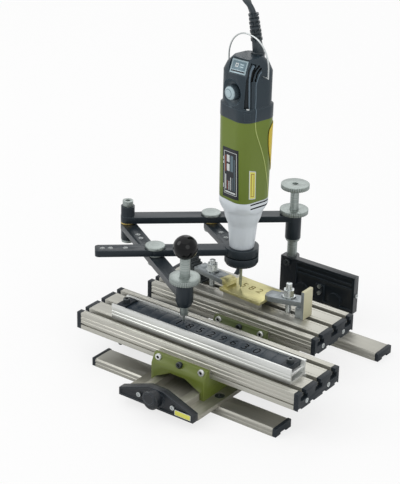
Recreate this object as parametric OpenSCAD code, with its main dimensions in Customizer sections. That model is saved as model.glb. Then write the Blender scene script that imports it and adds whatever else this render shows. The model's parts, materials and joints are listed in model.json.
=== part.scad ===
// Pantograph engraving machine. The origin is on the bench under the middle of the base rail.
// +X is to the right along the tables, +Y points to the column at the back and +Z is up.

/* [Base rail] */
// Length of the base rail
rail_len = 258; // [240:1:300]
// Width of the rail plate
rail_w = 88; // [86:0.2:94]
// Thickness of the rail plate
rail_t = 4.1; // [3:0.1:6]
// Height of the guide strips above the plate
guide_h = 7.3; // [5:0.1:8]
// Width of one guide strip
guide_w = 9; // [6:0.5:12]
// Width over both guide strips
guide_span = 53; // [46:0.5:54]

/* [Feet] */
// Length of a foot over its caps
foot_len = 221; // [180:1:260]
// Width of a foot
foot_w = 26; // [22:0.5:32]
// Height of a foot
foot_h = 8.6; // [7:0.1:12]
// Thickness of a foot cap
foot_cap_t = 4; // [2:0.5:8]
// Distance of the front foot from the middle of the rail
front_foot_y = 84; // [70:1:110]
// Distance of the rear foot from the middle of the rail
rear_foot_y = 100.3; // [96:0.1:112]
// Distance of a foot screw from the middle of the rail
foot_screw_x = 36.7; // [34:0.1:38]
// Diameter of the foot screws
foot_screw_d = 5; // [4:0.5:6]

/* [Tables] */
// Depth of a table from front to back
table_d = 70; // [66:1:76]
// Height of a table
table_h = 17.6; // [16:0.1:22]
// Length of the front table over its caps
front_table_len = 264; // [230:1:300]
// Length of the rear table over its caps
rear_table_len = 206.5; // [200:0.5:240]
// Thickness of a table end cap
table_cap_t = 5; // [3:0.5:8]
// Spacing of the slots
slot_pitch = 25; // [22:0.5:26]
// Width of a slot at the top
slot_neck_w = 6; // [5:0.1:8]
// Width of a slot inside
slot_w = 12; // [10:0.1:14]
// Height of a slot inside
slot_h = 5; // [4:0.1:6]
// Depth of a slot neck
slot_neck_h = 4; // [3:0.1:5]
// Depth of the guide grooves in the table sides
side_groove_d = 1.6; // [1:0.1:2]
// Width of the guide grooves in the table sides
side_groove_w = 1.6; // [1.2:0.1:2.4]
// Distance of the guide grooves below the table top
side_groove_drop = 12; // [11:0.1:13]

/* [Saddles] */
// Width of a saddle
saddle_w = 62.8; // [60:0.2:70]
// Height of the table seat above the rail plate
seat_h = 20.2; // [18:0.1:24]
// Height of a saddle lip above the seat
lip_h = 10.3; // [9:0.1:11]
// Reach of the front lip foot before the table
front_reach = 11; // [9:0.5:14]
// Reach of the rear lip foot behind the table
rear_reach = 8; // [7:0.5:10]
// Thickness of the lips at the top
lip_top_t = 6; // [5:0.5:8]
// Thickness of the gib strip
gib_t = 2; // [1.5:0.1:3]
// Distance of the ring nuts from the middle
gib_screw_x = 25.4; // [22:0.1:27]
// Place of the front saddle before the middle of the rail
front_saddle_y = 57; // [56:0.1:60]
// Place of the rear saddle behind the middle of the rail
rear_saddle_y = 41.4; // [40:0.1:46]
// Sideways place of the front table
front_table_x = -2; // [-30:1:30]
// Sideways place of the rear table
rear_table_x = -18.3; // [-30:0.1:-10]

/* [End plates] */
// Thickness of the front end plate
end_plate_t = 8; // [5:0.5:10]
// Height of the front end plate above its foot
end_plate_h = 21; // [20:0.5:24]
// Diameter of the round boss on the front end plate
end_boss_d = 17.5; // [14:0.5:20]
// Length of the round boss
end_boss_len = 10; // [6:0.5:14]
// Thickness of the back plate
back_plate_t = 8; // [6:0.5:9]
// Length of the back plate
back_plate_len = 91.7; // [84:0.1:100]
// Height of the top of the back plate above the bench
back_plate_top = 60; // [56:0.5:66]
// Depth of the tray in the back plate
tray_depth = 2; // [1:0.5:3]

/* [Column] */
// Sideways place of the column
column_x = -29.7; // [-31:0.1:-28]
// Distance of the column behind the middle of the rail
column_y = 136.8; // [136:0.1:138]
// Diameter of the column rod
column_d = 10.5; // [10:0.1:11.5]
// Height of the top of the column above the bench
column_top = 141.7; // [140:0.1:150]
// Diameter of the knurled discs
disc_d = 30; // [26:0.5:34]
// Thickness of the knurled discs
disc_t = 4.5; // [3.5:0.1:6]
// Diameter of the stud between the discs
stud_d = 9; // [7:0.1:9.5]
// Outer diameter of the bush in the main arm
bush_d = 14.2; // [13.6:0.1:15]

/* [Pantograph] */
// Length of the main arm between column and elbow
main_arm_len = 174; // [172:0.1:176]
// Direction of the main arm
main_arm_angle = 220.6; // [220:0.1:221.5]
// Length of the stylus arm between elbow and stylus
stylus_arm_len = 165.5; // [164:0.1:167]
// Direction of the stylus arm
stylus_arm_angle = -32.2; // [-32.6:0.1:-31.8]
// Reduction of the pantograph
ratio = 0.5; // [0.49:0.01:0.51]
// Width of the arms
arm_w = 15; // [14:0.5:17]
// Thickness of the arms
arm_t = 6.8; // [5:0.1:8]
// Height of the underside of the upper arms above the bench
upper_arm_z = 100.8; // [100:0.1:102]
// Space between the upper and the lower arms
arm_space = 1.7; // [1.4:0.1:2.2]
// Length of the tool bar beyond the stylus arm
tool_bar_tail = 60.2; // [57:0.2:70]
// Diameter of the pivot pins
pivot_d = 8; // [6:0.1:9]
// Diameter of the pivot caps
pivot_cap_d = 20.5; // [16:0.5:22]
// Diameter of the setting holes in the arms
setting_hole_d = 5; // [4:0.1:7]

/* [Stylus] */
// Diameter of the stylus rod
stylus_rod_d = 10; // [8:0.1:11]
// Diameter of the stylus sleeve
stylus_sleeve_d = 17.3; // [16:0.1:20]
// Diameter of the ball knob
ball_d = 24; // [20:0.5:28]
// Height of the middle of the ball knob above the bench
ball_z = 144.6; // [143:0.1:152]
// Diameter of the stylus pin
stylus_pin_d = 2; // [1:0.1:2.4]
// Height of the tip of the stylus pin above the front table
stylus_tip_h = 14.5; // [14.5:0.1:15.5]

/* [Tool] */
// Diameter of the tool collar
collar_d = 20; // [19:0.1:20.5]
// Outer diameter of the holder rings
holder_d = 34.5; // [32:0.5:37]
// Length of the head casting
head_len = 54; // [50:1:58]
// Width of the tool body
tool_w = 42; // [40:0.5:46]
// Corner radius of the tool body
tool_r = 13; // [10:0.5:16]
// Length of the body shell
body_len = 85; // [80:1:92]
// Length of the top cap
cap_len = 60; // [58:1:66]
// Turn of the tool in its holder
tool_turn = -14.6; // [-20:0.1:-10]
// Diameter of the cutter
cutter_d = 3; // [2:0.1:3.2]
// Height of the cutter tip above the rear table
cutter_tip_h = 10.8; // [10.8:0.1:12]
// Diameter of the wire bail
bail_d = 1.6; // [1.2:0.1:2.5]

/* [Template rail] */
// Length of the template rail
rail_channel_len = 212; // [190:1:230]
// Outer width of the template rail
channel_w = 24.8; // [24:0.1:26]
// Wall thickness of the template rail
channel_t = 1.8; // [1.5:0.1:2.4]
// Height of the template rail
channel_h = 15.8; // [14:0.1:18]
// Thickness of the floor of the template rail
channel_floor = 2.5; // [2:0.1:3]
// Depth of the letter tiles below the top of the rail
tile_drop = 1.6; // [1.6:0.1:2.5]
// Thickness of a letter tile
tile_t = 4; // [3:0.1:4.5]
// Length of a letter tile
tile_len = 12; // [10:0.5:16]
// Number of letter tiles
tile_count = 14; // [6:1:15]

/* [Work holding] */
// Length of the engraved plate
plate_len = 52; // [48:1:56]
// Width of the engraved plate
plate_w = 37; // [30:1:40]
// Thickness of the engraved plate
plate_t = 3; // [1:0.1:4]
// Height of the packing under the plate
packing_h = 7.5; // [7.4:0.1:7.8]
// Width of a clamp bar
clamp_w = 15; // [13:0.5:17]
// Thickness of a clamp bar
clamp_t = 5.5; // [4:0.1:7]
// Diameter of the clamp studs
clamp_stud_d = 6; // [4.5:0.1:6]
// Height of the left stud above the table
left_stud_h = 28.5; // [25:0.5:29]
// Height of the right stud above the table
right_stud_h = 31; // [26:0.5:31]

/* [Cord] */
// Diameter of the mains cord
cord_d = 5.5; // [5:0.1:6]
// Turns in each layer of the coil
coil_turns = 3; // [2:1:4]
// Mean radius of the coil
coil_r = 31; // [28:0.5:34]

/* [Hidden] */
$fn = 48;

// Running clearance of a shaft in its bore, and clearance of sliding flats
run_gap = 0.05;
slide_gap = 0.1;
side_gap = 0.3;

// Heights above the bench
plate_z = foot_h + rail_t;
guide_z = plate_z + guide_h;
seat_z = plate_z + seat_h;
table_z = seat_z + table_h;
slot_z = table_z - slot_neck_h - slot_h;
arm_top_z = upper_arm_z + arm_t;
lower_top_z = upper_arm_z - arm_space;
lower_arm_z = lower_top_z - arm_t;

// Places of the pantograph pivots seen from above
column_at = [column_x, column_y];
elbow_at = column_at + main_arm_len * [cos(main_arm_angle), sin(main_arm_angle)];
stylus_at = elbow_at + stylus_arm_len * [cos(stylus_arm_angle), sin(stylus_arm_angle)];
middle_at = column_at + ratio * (elbow_at - column_at);
inner_at = elbow_at + (1 - ratio) * (stylus_at - elbow_at);
tool_at = column_at + ratio * (stylus_at - column_at);
short_link_len = ratio * stylus_arm_len;
tool_bar_len = (1 - ratio) * main_arm_len;

// Two-dimensional helpers
module rounded_square(w, d, r) {
    square([w - 2 * r, d], center = true);
    square([w, d - 2 * r], center = true);
    for (sx = [-1, 1], sy = [-1, 1]) {
        translate([sx * (w / 2 - r), sy * (d / 2 - r)]) circle(r = r);
    }
}

module ring(d_out, d_in, h) {
    difference() {
        cylinder(d = d_out, h = h);
        translate([0, 0, -1]) cylinder(d = d_in, h = h + 2);
    }
}

// A profile drawn in the YZ plane, run along X, and one drawn in the XZ plane, run along Y
module along_x(len) {
    rotate([90, 0, 90]) linear_extrude(len, center = true) children();
}

module along_y(len) {
    rotate([90, 0, 0]) linear_extrude(len, center = true) children();
}

module knurled(d, h, notches = 36) {
    linear_extrude(h) difference() {
        circle(d = d, $fn = 72);
        for (i = [0 : notches - 1]) {
            rotate(360 / notches * i) translate([d / 2, 0]) circle(r = 0.7, $fn = 4);
        }
    }
}

module hex_socket(size, depth) {
    translate([0, 0, -depth]) cylinder(d = size / cos(30), h = depth + 1, $fn = 6);
}

// A cap screw with its head from z = 0 up and its shank below
module cap_screw(d, len, head_d, head_h, socket) {
    difference() {
        union() {
            cylinder(d = head_d, h = head_h);
            translate([0, 0, -len]) cylinder(d = d, h = len + 0.1);
        }
        translate([0, 0, head_h]) hex_socket(socket, head_h * 0.6);
    }
}

// Base rail
module rail_profile() {
    translate([-rail_w / 2, foot_h]) square([rail_w, rail_t]);
    for (s = [-1, 1]) {
        translate([s * (guide_span - guide_w) / 2 - guide_w / 2, plate_z - 0.01])
            square([guide_w, guide_h + 0.01]);
    }
}

foot_screw_places = [for (sx = [-1, 1], y = [-front_foot_y, rear_foot_y]) [sx * foot_screw_x, y]];
screw_head_d = 2 * foot_screw_d;
end_screw_d = 3;
end_screw_head_d = 5;
end_screw_head_h = 1.8;
end_screw_z = guide_z - 2.5;
end_screw_x = guide_span / 2 - guide_w + 2.5;
end_screw_len = 22;

module base_rail() color("gainsboro") {
    difference() {
        along_y(rail_len) rail_profile();
        for (p = foot_screw_places) {
            translate([p[0], p[1], foot_h - 1]) cylinder(d = foot_screw_d + 0.4, h = rail_t + 2);
            translate([p[0], p[1], plate_z - foot_screw_d / 2 - 0.1])
                cylinder(d1 = foot_screw_d + 0.4, d2 = screw_head_d + 0.6, h = foot_screw_d / 2 + 0.2);
        }
        for (sx = [-1, 1], sy = [-1, 1]) {
            translate([sx * end_screw_x, sy * rail_len / 2, end_screw_z]) rotate([sy * 90, 0, 0])
                translate([0, 0, -1]) cylinder(d = end_screw_d + 0.1, h = end_screw_len);
        }
    }
}

// Feet
foot_notch_w = 9;
foot_notch_h = 2;

module foot_profile() {
    difference() {
        translate([-foot_w / 2, 0]) square([foot_w, foot_h]);
        translate([-foot_notch_w / 2, -1]) square([foot_notch_w, foot_notch_h + 1]);
        for (s = [-1, 1]) {
            translate([s * foot_w / 2, foot_h]) circle(r = 1.5, $fn = 4);
            translate([s * foot_w / 2, foot_h * 0.45]) circle(r = 0.7, $fn = 4);
        }
    }
}

module foot_at(y) {
    difference() {
        translate([0, y, 0]) along_x(foot_len - 2 * foot_cap_t) foot_profile();
        for (sx = [-1, 1]) {
            translate([sx * foot_screw_x, y, -1]) cylinder(d = foot_screw_d + 0.1, h = foot_h + 2);
        }
    }
}

module front_foot() color("silver") foot_at(-front_foot_y);

module rear_foot() color("silver") foot_at(rear_foot_y);

module foot_caps() color([0.1, 0.1, 0.11]) {
    for (y = [-front_foot_y, rear_foot_y], s = [-1, 1]) {
        translate([s * (foot_len - foot_cap_t) / 2, y, 0]) along_x(foot_cap_t) difference() {
            translate([-foot_w / 2, 0]) square([foot_w, foot_h]);
            translate([-foot_notch_w / 2, -1]) square([foot_notch_w, foot_notch_h + 1]);
        }
    }
}

module foot_screws() color("dimgray") {
    for (p = foot_screw_places) {
        translate([p[0], p[1], plate_z - 0.2]) difference() {
            union() {
                translate([0, 0, -foot_screw_d / 2])
                    cylinder(d1 = foot_screw_d, d2 = screw_head_d, h = foot_screw_d / 2);
                translate([0, 0, -rail_t - 5]) cylinder(d = foot_screw_d, h = rail_t + 4);
            }
            hex_socket(0.6 * foot_screw_d, 2);
        }
    }
}

// Front end plate, a flat rhombus with a round boss
end_face_y = -rail_len / 2;
end_plate_z = foot_h + 0.5;
end_boss_z = end_plate_z + 0.55 * end_plate_h;

module end_plate_outline(inset = 0) {
    half = rail_w / 2 - inset;
    polygon([[-half, end_plate_z + inset], [half, end_plate_z + inset],
        [half, end_plate_z + 8 - inset * 0.6], [9, end_plate_z + end_plate_h - inset],
        [-9, end_plate_z + end_plate_h - inset], [-half, end_plate_z + 8 - inset * 0.6]]);
}

module front_end_plate() color([0.12, 0.13, 0.15]) {
    difference() {
        union() {
            translate([0, end_face_y - end_plate_t / 2, 0]) along_y(end_plate_t) end_plate_outline();
            translate([0, end_face_y - end_plate_t, end_boss_z]) rotate([90, 0, 0])
                cylinder(d = end_boss_d, h = end_boss_len - 2);
            translate([0, end_face_y - end_plate_t - end_boss_len + 2, end_boss_z])
                rotate([90, 0, 0]) cylinder(d1 = end_boss_d, d2 = end_boss_d - 4, h = 2);
        }
        translate([0, end_face_y - end_plate_t + 0.25, 0]) along_y(1.5) difference() {
            end_plate_outline(2);
            translate([0, end_boss_z]) circle(d = end_boss_d + 3);
        }
        translate([0, end_face_y - end_plate_t - end_boss_len, end_boss_z]) rotate([90, 0, 0])
            hex_socket(6, 4);
        for (sx = [-1, 1]) {
            translate([sx * end_screw_x, end_face_y + 1, end_screw_z]) rotate([90, 0, 0])
                cylinder(d = end_screw_d + 0.3, h = end_plate_t + 4);
        }
    }
}

module end_plate_screws() color("silver") {
    for (sx = [-1, 1]) {
        translate([sx * end_screw_x, end_face_y - end_plate_t + 1, end_screw_z]) rotate([90, 0, 0])
            cap_screw(end_screw_d, end_plate_t + 8, end_screw_head_d, end_screw_head_h, 2.5);
    }
}

// Back plate with its tray, the column socket and a foot on the end of the rail
back_y = rail_len / 2;
back_mid_y = back_y + back_plate_t / 2;
socket_w = 17;
back_left = column_x - socket_w / 2;
back_right = back_left + back_plate_len;
back_low_z = guide_z - 1;
socket_low_z = guide_z + 1;
clamp_screw_d = 4;
clamp_screw_z = back_plate_top - 6;
tray_screw_d = 3;
tray_screw_head_d = 4.5;
side_screw_z = back_plate_top - 21.4;
tray_left = column_x + socket_w / 2 + 3;
tray_low = back_low_z + 3;
tray_screw_x = (tray_left + back_right) / 2 - 6;

module back_plate() color([0.13, 0.14, 0.16]) {
    difference() {
        union() {
            translate([0, back_mid_y, 0]) along_y(back_plate_t) {
                translate([back_left, back_low_z])
                    square([back_plate_len, back_plate_top - back_low_z]);
                translate([-guide_span / 2, foot_h])
                    square([guide_span, back_low_z - foot_h + 0.1]);
            }
            intersection() {
                translate([0, 0, socket_low_z]) linear_extrude(back_plate_top - socket_low_z) hull() {
                    translate([column_x, column_y]) circle(d = socket_w - 0.6);
                    translate([back_left + 0.3, back_mid_y]) square([socket_w - 0.6, 0.1]);
                }
                translate([back_left, back_y, 0])
                    cube([socket_w, column_y - back_y + socket_w, back_plate_top + 1]);
            }
        }
        difference() {
            translate([tray_left, back_y - 1, tray_low])
                cube([back_right - 3 - tray_left, tray_depth + 1, back_plate_top - 3 - tray_low]);
            for (sx = [0, 41]) {
                translate([tray_left + 7 + sx, back_y + 5, tray_low + 5]) rotate([90, 0, 0])
                    cylinder(r = 8, h = 6);
            }
            translate([tray_screw_x - 5, back_y - 2, tray_low]) cube([10, 6, 18]);
            for (z = [tray_low + 23, tray_low + 28]) {
                translate([tray_left, back_y + 1, z]) cube([back_plate_len, 4, 1.4]);
            }
        }
        translate([column_x, column_y, socket_low_z + 2])
            cylinder(d = column_d + 0.04, h = back_plate_top - socket_low_z);
        translate([column_x, column_y, clamp_screw_z]) rotate([90, 0, 0])
            cylinder(d = clamp_screw_d + 0.1, h = column_y - back_y + 5);
        for (z = [tray_low + 16.5, tray_low + 9]) {
            translate([tray_screw_x, back_y + back_plate_t + 1, z]) rotate([90, 0, 0])
                cylinder(d = tray_screw_d + 0.1, h = back_plate_t + 3);
        }
        translate([back_right + 1, back_mid_y, side_screw_z]) rotate([0, -90, 0])
            cylinder(d = tray_screw_d + 0.1, h = 9);
        for (sx = [-1, 1]) {
            translate([sx * end_screw_x, back_y + back_plate_t + 1, end_screw_z])
                rotate([90, 0, 0]) cylinder(d = end_screw_d + 0.3, h = back_plate_t + 3);
        }
    }
}

module back_plate_screws() color("silver") {
    for (z = [tray_low + 16.5, tray_low + 9]) {
        translate([tray_screw_x, back_y, z]) rotate([90, 0, 0])
            cap_screw(tray_screw_d, 7, tray_screw_head_d, 1.6, 2);
    }
    translate([back_right, back_mid_y, side_screw_z]) rotate([0, 90, 0])
        cap_screw(tray_screw_d, 7, tray_screw_head_d, 1.6, 2);
    for (sx = [-1, 1]) {
        translate([sx * end_screw_x, back_y + back_plate_t, end_screw_z]) rotate([-90, 0, 0])
            cap_screw(end_screw_d, back_plate_t + 9, end_screw_head_d, end_screw_head_h, 2.5);
    }
}

module column_clamp_screw() color([0.2, 0.2, 0.21]) {
    translate([column_x, back_y, clamp_screw_z]) rotate([90, 0, 0])
        cap_screw(clamp_screw_d, column_y - column_d / 2 - back_y - 0.3, 7, 2.8, 3);
}

// Column, its bush and the two knurled discs
bush_low = upper_arm_z - 23.4;
bush_seat = bush_low + 2.9;
stud_from = upper_arm_z + 3.2;
nut_low = arm_top_z + 0.3;
nut_boss_h = 1;

module column_rod() color("silver") {
    translate([column_x, column_y, 0]) {
        translate([0, 0, socket_low_z + 2.1])
            cylinder(d = column_d, h = stud_from - socket_low_z - 2.1);
        translate([0, 0, stud_from - 0.1])
            cylinder(d = stud_d, h = column_top - disc_t - stud_from);
    }
}

module column_top_disc() color("silver") {
    translate([column_x, column_y, column_top - disc_t]) difference() {
        knurled(disc_d, disc_t);
        translate([0, 0, -1]) cylinder(d = 6, h = 2);
        translate([0, 0, disc_t]) hex_socket(6, 3);
    }
}

module column_bush() color("silver") {
    translate([column_x, column_y, 0]) difference() {
        union() {
            translate([0, 0, bush_low]) cylinder(d1 = 14, d2 = 16.5, h = bush_seat - bush_low);
            translate([0, 0, bush_seat - 0.1]) cylinder(d = bush_d, h = arm_top_z - bush_seat);
        }
        cylinder(d = column_d + 2 * run_gap, h = 200);
    }
}

module column_nut() color("silver") {
    translate([column_x, column_y, nut_low]) difference() {
        union() {
            cylinder(d = 18, h = nut_boss_h + 0.1);
            translate([0, 0, nut_boss_h]) knurled(disc_d, disc_t);
        }
        translate([0, 0, -1]) cylinder(d = stud_d + 2 * run_gap, h = disc_t + 4);
    }
}

// Saddles
leg_foot_z = plate_z;
arch_top_z = guide_z + 0.72 * (seat_z - guide_z);
lip_z = seat_z + lip_h;
groove_z = table_z - side_groove_drop;

module saddle_side() {
    front = table_d / 2 + gib_t + slide_gap;
    back = table_d / 2 + slide_gap;
    polygon([[-table_d / 2 - front_reach, leg_foot_z], [-table_d / 2 - front_reach, seat_z + 0.6],
        [-table_d / 2 - lip_top_t, lip_z], [-front, lip_z], [-front, seat_z], [back, seat_z],
        [back, groove_z - side_groove_w / 2 + slide_gap],
        [back - side_groove_d + 0.4, groove_z - side_groove_w / 2 + slide_gap],
        [back - side_groove_d + 0.4, groove_z + side_groove_w / 2 - slide_gap],
        [back, groove_z + side_groove_w / 2 - slide_gap], [back, lip_z],
        [table_d / 2 + lip_top_t, lip_z], [table_d / 2 + rear_reach, seat_z + 0.6],
        [table_d / 2 + rear_reach, leg_foot_z]]);
}

module saddle_arch() {
    side = guide_span / 2 + slide_gap;
    polygon([[-side, leg_foot_z - 1], [-side, guide_z + 0.3], [-9, arch_top_z], [9, arch_top_z],
        [side, guide_z + 0.3], [side, leg_foot_z - 1]]);
}

lip_slope = atan2(front_reach - lip_top_t, lip_h - 0.6);
ring_z = lip_z - 2.9;
ring_y = -table_d / 2 - lip_top_t - (lip_z - ring_z) * tan(lip_slope);
gib_screw_d = 4;
ring_nut_d = 6.6;
lock_head_d = 6;

module saddle_at(y) {
    translate([0, y, 0]) difference() {
        along_x(saddle_w) saddle_side();
        along_y(2 * table_d) saddle_arch();
        for (x = [-gib_screw_x, 0, gib_screw_x]) {
            translate([x, -table_d / 2 + 1, ring_z]) rotate([90, 0, 0])
                cylinder(d = gib_screw_d + 0.2, h = 20);
            translate([x, ring_y + 1, ring_z]) rotate([90, 0, 0])
                cylinder(d = ring_nut_d + 0.6, h = 20);
        }
    }
}

module front_saddle() color("olivedrab") saddle_at(-front_saddle_y);

module rear_saddle() color("olivedrab") saddle_at(rear_saddle_y);

// Gib strip with its tongue in the groove of the table
module gib_at(y) {
    translate([0, y - table_d / 2, 0]) along_x(saddle_w - 2) {
        translate([-gib_t, seat_z + 0.3]) square([gib_t - slide_gap / 2, lip_h - 0.6]);
        translate([-slide_gap, groove_z - side_groove_w / 2 + slide_gap])
            square([side_groove_d - 0.4, side_groove_w - 2 * slide_gap]);
    }
}

module front_gib() color("silver") gib_at(-front_saddle_y);

module rear_gib() color("silver") gib_at(rear_saddle_y);

// Screws in the front lip: ring nuts at the sides, a plain lock screw in the middle
gib_screw_len = -ring_y - table_d / 2 - gib_t - slide_gap;

module ring_nut_screw() {
    difference() {
        union() {
            translate([0, 0, -gib_screw_len]) cylinder(d = gib_screw_d, h = gib_screw_len + 1.5);
            translate([0, 0, -0.9]) cylinder(d = ring_nut_d, h = 2.4);
        }
        translate([0, 0, 1.5]) hex_socket(3, 2);
    }
}

module gib_screws_at(y) {
    for (s = [-1, 1]) {
        translate([s * gib_screw_x, y + ring_y, ring_z]) rotate([90, 0, 0]) ring_nut_screw();
    }
}

module lock_screw_at(y) {
    translate([0, y + ring_y, ring_z]) rotate([90, 0, 0])
        translate([0, 0, -0.9]) cap_screw(gib_screw_d, gib_screw_len - 0.9, lock_head_d, 3.6, 3);
}

module front_saddle_screws() color("silver") {
    gib_screws_at(-front_saddle_y);
    lock_screw_at(-front_saddle_y);
}

module rear_saddle_screws() color("silver") {
    gib_screws_at(rear_saddle_y);
    lock_screw_at(rear_saddle_y);
}

// Tables
module slot_shape() {
    translate([-slot_neck_w / 2, -slot_neck_h - 0.1]) square([slot_neck_w, slot_neck_h + 1]);
    translate([-slot_w / 2, -slot_neck_h - slot_h]) square([slot_w, slot_h]);
}

module table_block() {
    difference() {
        translate([-table_d / 2, 0]) square([table_d, table_h]);
        for (i = [-1 : 1]) translate([i * slot_pitch, table_h]) slot_shape();
        for (i = [-1.5, -0.5, 0.5, 1.5]) {
            translate([i * (slot_pitch - 4) - 3, -1]) square([6, 3]);
        }
    }
}

module table_profile() {
    difference() {
        table_block();
        for (s = [-1, 1]) {
            translate([s * table_d / 2, table_h - side_groove_drop])
                square([2 * side_groove_d, side_groove_w], center = true);
            for (drop = [4, 8]) translate([s * table_d / 2, table_h - drop]) circle(r = 0.6, $fn = 4);
        }
        for (i = [-1 : 1], s = [-1, 1]) {
            translate([i * slot_pitch + s * (slot_neck_w / 2 + 3.2), table_h]) circle(r = 0.5, $fn = 4);
        }
    }
}

cap_screw_places = [-slot_pitch / 2 - 7.6, slot_pitch / 2 + 4.6];
cap_screw_z = seat_z + 5.6;
cap_screw_d = 3;
cap_head_d = 5;

module table_at(x, y, len) {
    difference() {
        translate([x, y, seat_z]) along_x(len - 2 * table_cap_t) table_profile();
        for (s = [-1, 1], dy = cap_screw_places) {
            translate([x + s * (len / 2 - table_cap_t), y + dy, cap_screw_z]) rotate([0, -s * 90, 0])
                translate([0, 0, -1]) cylinder(d = cap_screw_d + 0.1, h = 13);
        }
    }
}

module table_caps_at(x, y, len) {
    for (s = [-1, 1]) {
        difference() {
            translate([x + s * (len - table_cap_t) / 2, y, seat_z]) along_x(table_cap_t) table_block();
            for (dy = cap_screw_places) {
                translate([x + s * (len / 2 + 1), y + dy, cap_screw_z]) rotate([0, -s * 90, 0])
                    cylinder(d = cap_screw_d + 0.3, h = table_cap_t + 2);
                translate([x + s * (len / 2 + 1), y + dy, cap_screw_z]) rotate([0, -s * 90, 0])
                    cylinder(d = cap_head_d + 0.4, h = 2.2);
            }
        }
    }
}

module table_screws_at(x, y, len) {
    for (s = [-1, 1], dy = cap_screw_places) {
        translate([x + s * (len / 2 - 1.15), y + dy, cap_screw_z]) rotate([0, s * 90, 0])
            cap_screw(cap_screw_d, table_cap_t + 6, cap_head_d, 1.4, 2.5);
    }
}

module front_table() color("silver") table_at(front_table_x, -front_saddle_y, front_table_len);

module rear_table() color("silver") table_at(rear_table_x, rear_saddle_y, rear_table_len);

module front_table_caps() color([0.1, 0.1, 0.11])
    table_caps_at(front_table_x, -front_saddle_y, front_table_len);

module rear_table_caps() color([0.1, 0.1, 0.11])
    table_caps_at(rear_table_x, rear_saddle_y, rear_table_len);

module front_cap_screws() color("silver")
    table_screws_at(front_table_x, -front_saddle_y, front_table_len);

module rear_cap_screws() color("silver")
    table_screws_at(rear_table_x, rear_saddle_y, rear_table_len);

// Template rail on the front table, held by its T foot in the middle slot
channel_front_y = -front_saddle_y - 24;
channel_back_y = channel_front_y + channel_w;
channel_mid_y = channel_front_y + channel_w / 2;
channel_x = front_table_x + 9.5;
floor_z = table_z + channel_floor;
web_t = 2;
web_z = table_z + channel_h - tile_drop - tile_t;
foot_gap = 0.2;
inner_w = channel_w - 2 * channel_t;

module channel_profile() {
    difference() {
        translate([channel_front_y, table_z]) square([channel_w, channel_h]);
        translate([channel_front_y + channel_t, web_z]) square([inner_w, channel_h]);
        translate([channel_front_y + channel_t, floor_z])
            square([inner_w, web_z - web_t - floor_z]);
        for (drop = [7, 10.5]) {
            translate([channel_front_y, table_z + channel_h - drop]) circle(r = 0.5, $fn = 4);
        }
    }
    translate([channel_back_y - 0.6, table_z + channel_h - 2.5]) square([1.8, 2.5]);
    translate([-front_saddle_y - slot_neck_w / 2 + foot_gap, slot_z + slot_h - 1])
        square([slot_neck_w - 2 * foot_gap, slot_neck_h + 1.5]);
    translate([-front_saddle_y - slot_w / 2 + foot_gap, slot_z + slot_h - foot_gap - 2.2])
        square([slot_w - 2 * foot_gap, 2.2]);
}

stop_len = 10;
stop_x = rail_channel_len / 2 - 4 - stop_len / 2;
stop_h = tile_drop + tile_t;
stop_screw_d = 4;

module template_rail() color("silver") {
    difference() {
        translate([channel_x, 0, 0]) along_x(rail_channel_len) channel_profile();
        for (s = [-1, 1]) {
            translate([channel_x + s * stop_x, channel_mid_y, web_z - web_t - 1])
                cylinder(d = stop_screw_d + 0.1, h = web_t + 2);
        }
    }
}

tiles_left = channel_x - stop_x + stop_len / 2 + 0.3;
tile_gap = 0.2;

module template_tiles() color([0.12, 0.13, 0.15]) {
    tile_pitch = (2 * stop_x - stop_len - 0.6) / tile_count;
    for (i = [0 : tile_count - 1]) {
        translate([tiles_left + i * tile_pitch, channel_front_y + channel_t + tile_gap, web_z])
            cube([tile_pitch - tile_gap, inner_w - 2 * tile_gap, tile_t]);
    }
}

module template_stops() color([0.1, 0.1, 0.11]) {
    for (s = [-1, 1]) {
        translate([channel_x + s * stop_x, channel_mid_y, web_z]) difference() {
            union() {
                translate([-stop_len / 2, -inner_w / 2 + tile_gap, 0])
                    cube([stop_len, inner_w - 2 * tile_gap, stop_h]);
                translate([0, 0, -web_t - 1]) cylinder(d = stop_screw_d, h = web_t + 2);
            }
            translate([0, 0, stop_h - 1.6]) cylinder(d = 6.6, h = 3);
            translate([0, 0, stop_h - 1.6]) hex_socket(3, 2);
        }
    }
}

// Work holding on the rear table. The studs stand in the middle slot.
plate_top_z = table_z + packing_h + plate_t;
plate_at = [-16, rear_saddle_y - 1.5];
plate_turn = -3.8;
left_stud_at = [-64.7, rear_saddle_y];
right_stud_at = [29.5, rear_saddle_y];
left_turn = -10;
right_turn = 16;
left_bar_from = -19;
left_bar_to = 28;
right_bar_from = -24;
right_bar_to = 16;

module engraved_plate() color("gold") {
    translate([plate_at[0], plate_at[1], plate_top_z - plate_t]) rotate(plate_turn)
        linear_extrude(plate_t) rounded_square(plate_len, plate_w, 1.5);
}

module plate_packing() color("lightgray") {
    for (s = [-1, 1]) {
        translate([plate_at[0], plate_at[1], table_z]) rotate(plate_turn)
            translate([-plate_len / 2 + 4, s * (plate_w / 2 - 6) - 4, 0])
                cube([plate_len - 8, 8, packing_h]);
    }
}

module clamp_bar(from, to, nose) {
    difference() {
        linear_extrude(clamp_t) difference() {
            polygon([[from, -clamp_w / 2], [to - nose, -clamp_w / 2], [to, -clamp_w / 5],
                [to, clamp_w / 5], [to - nose, clamp_w / 2], [from, clamp_w / 2]]);
            translate([-4, 0]) circle(d = clamp_stud_d + 0.8);
            translate([4, 0]) circle(d = clamp_stud_d + 0.8);
            square([8, clamp_stud_d + 0.8], center = true);
        }
        translate([to - 3, 0, clamp_t]) rotate([0, 25, 0]) translate([0, -clamp_w, 0])
            cube([12, 2 * clamp_w, 6]);
    }
}

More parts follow.
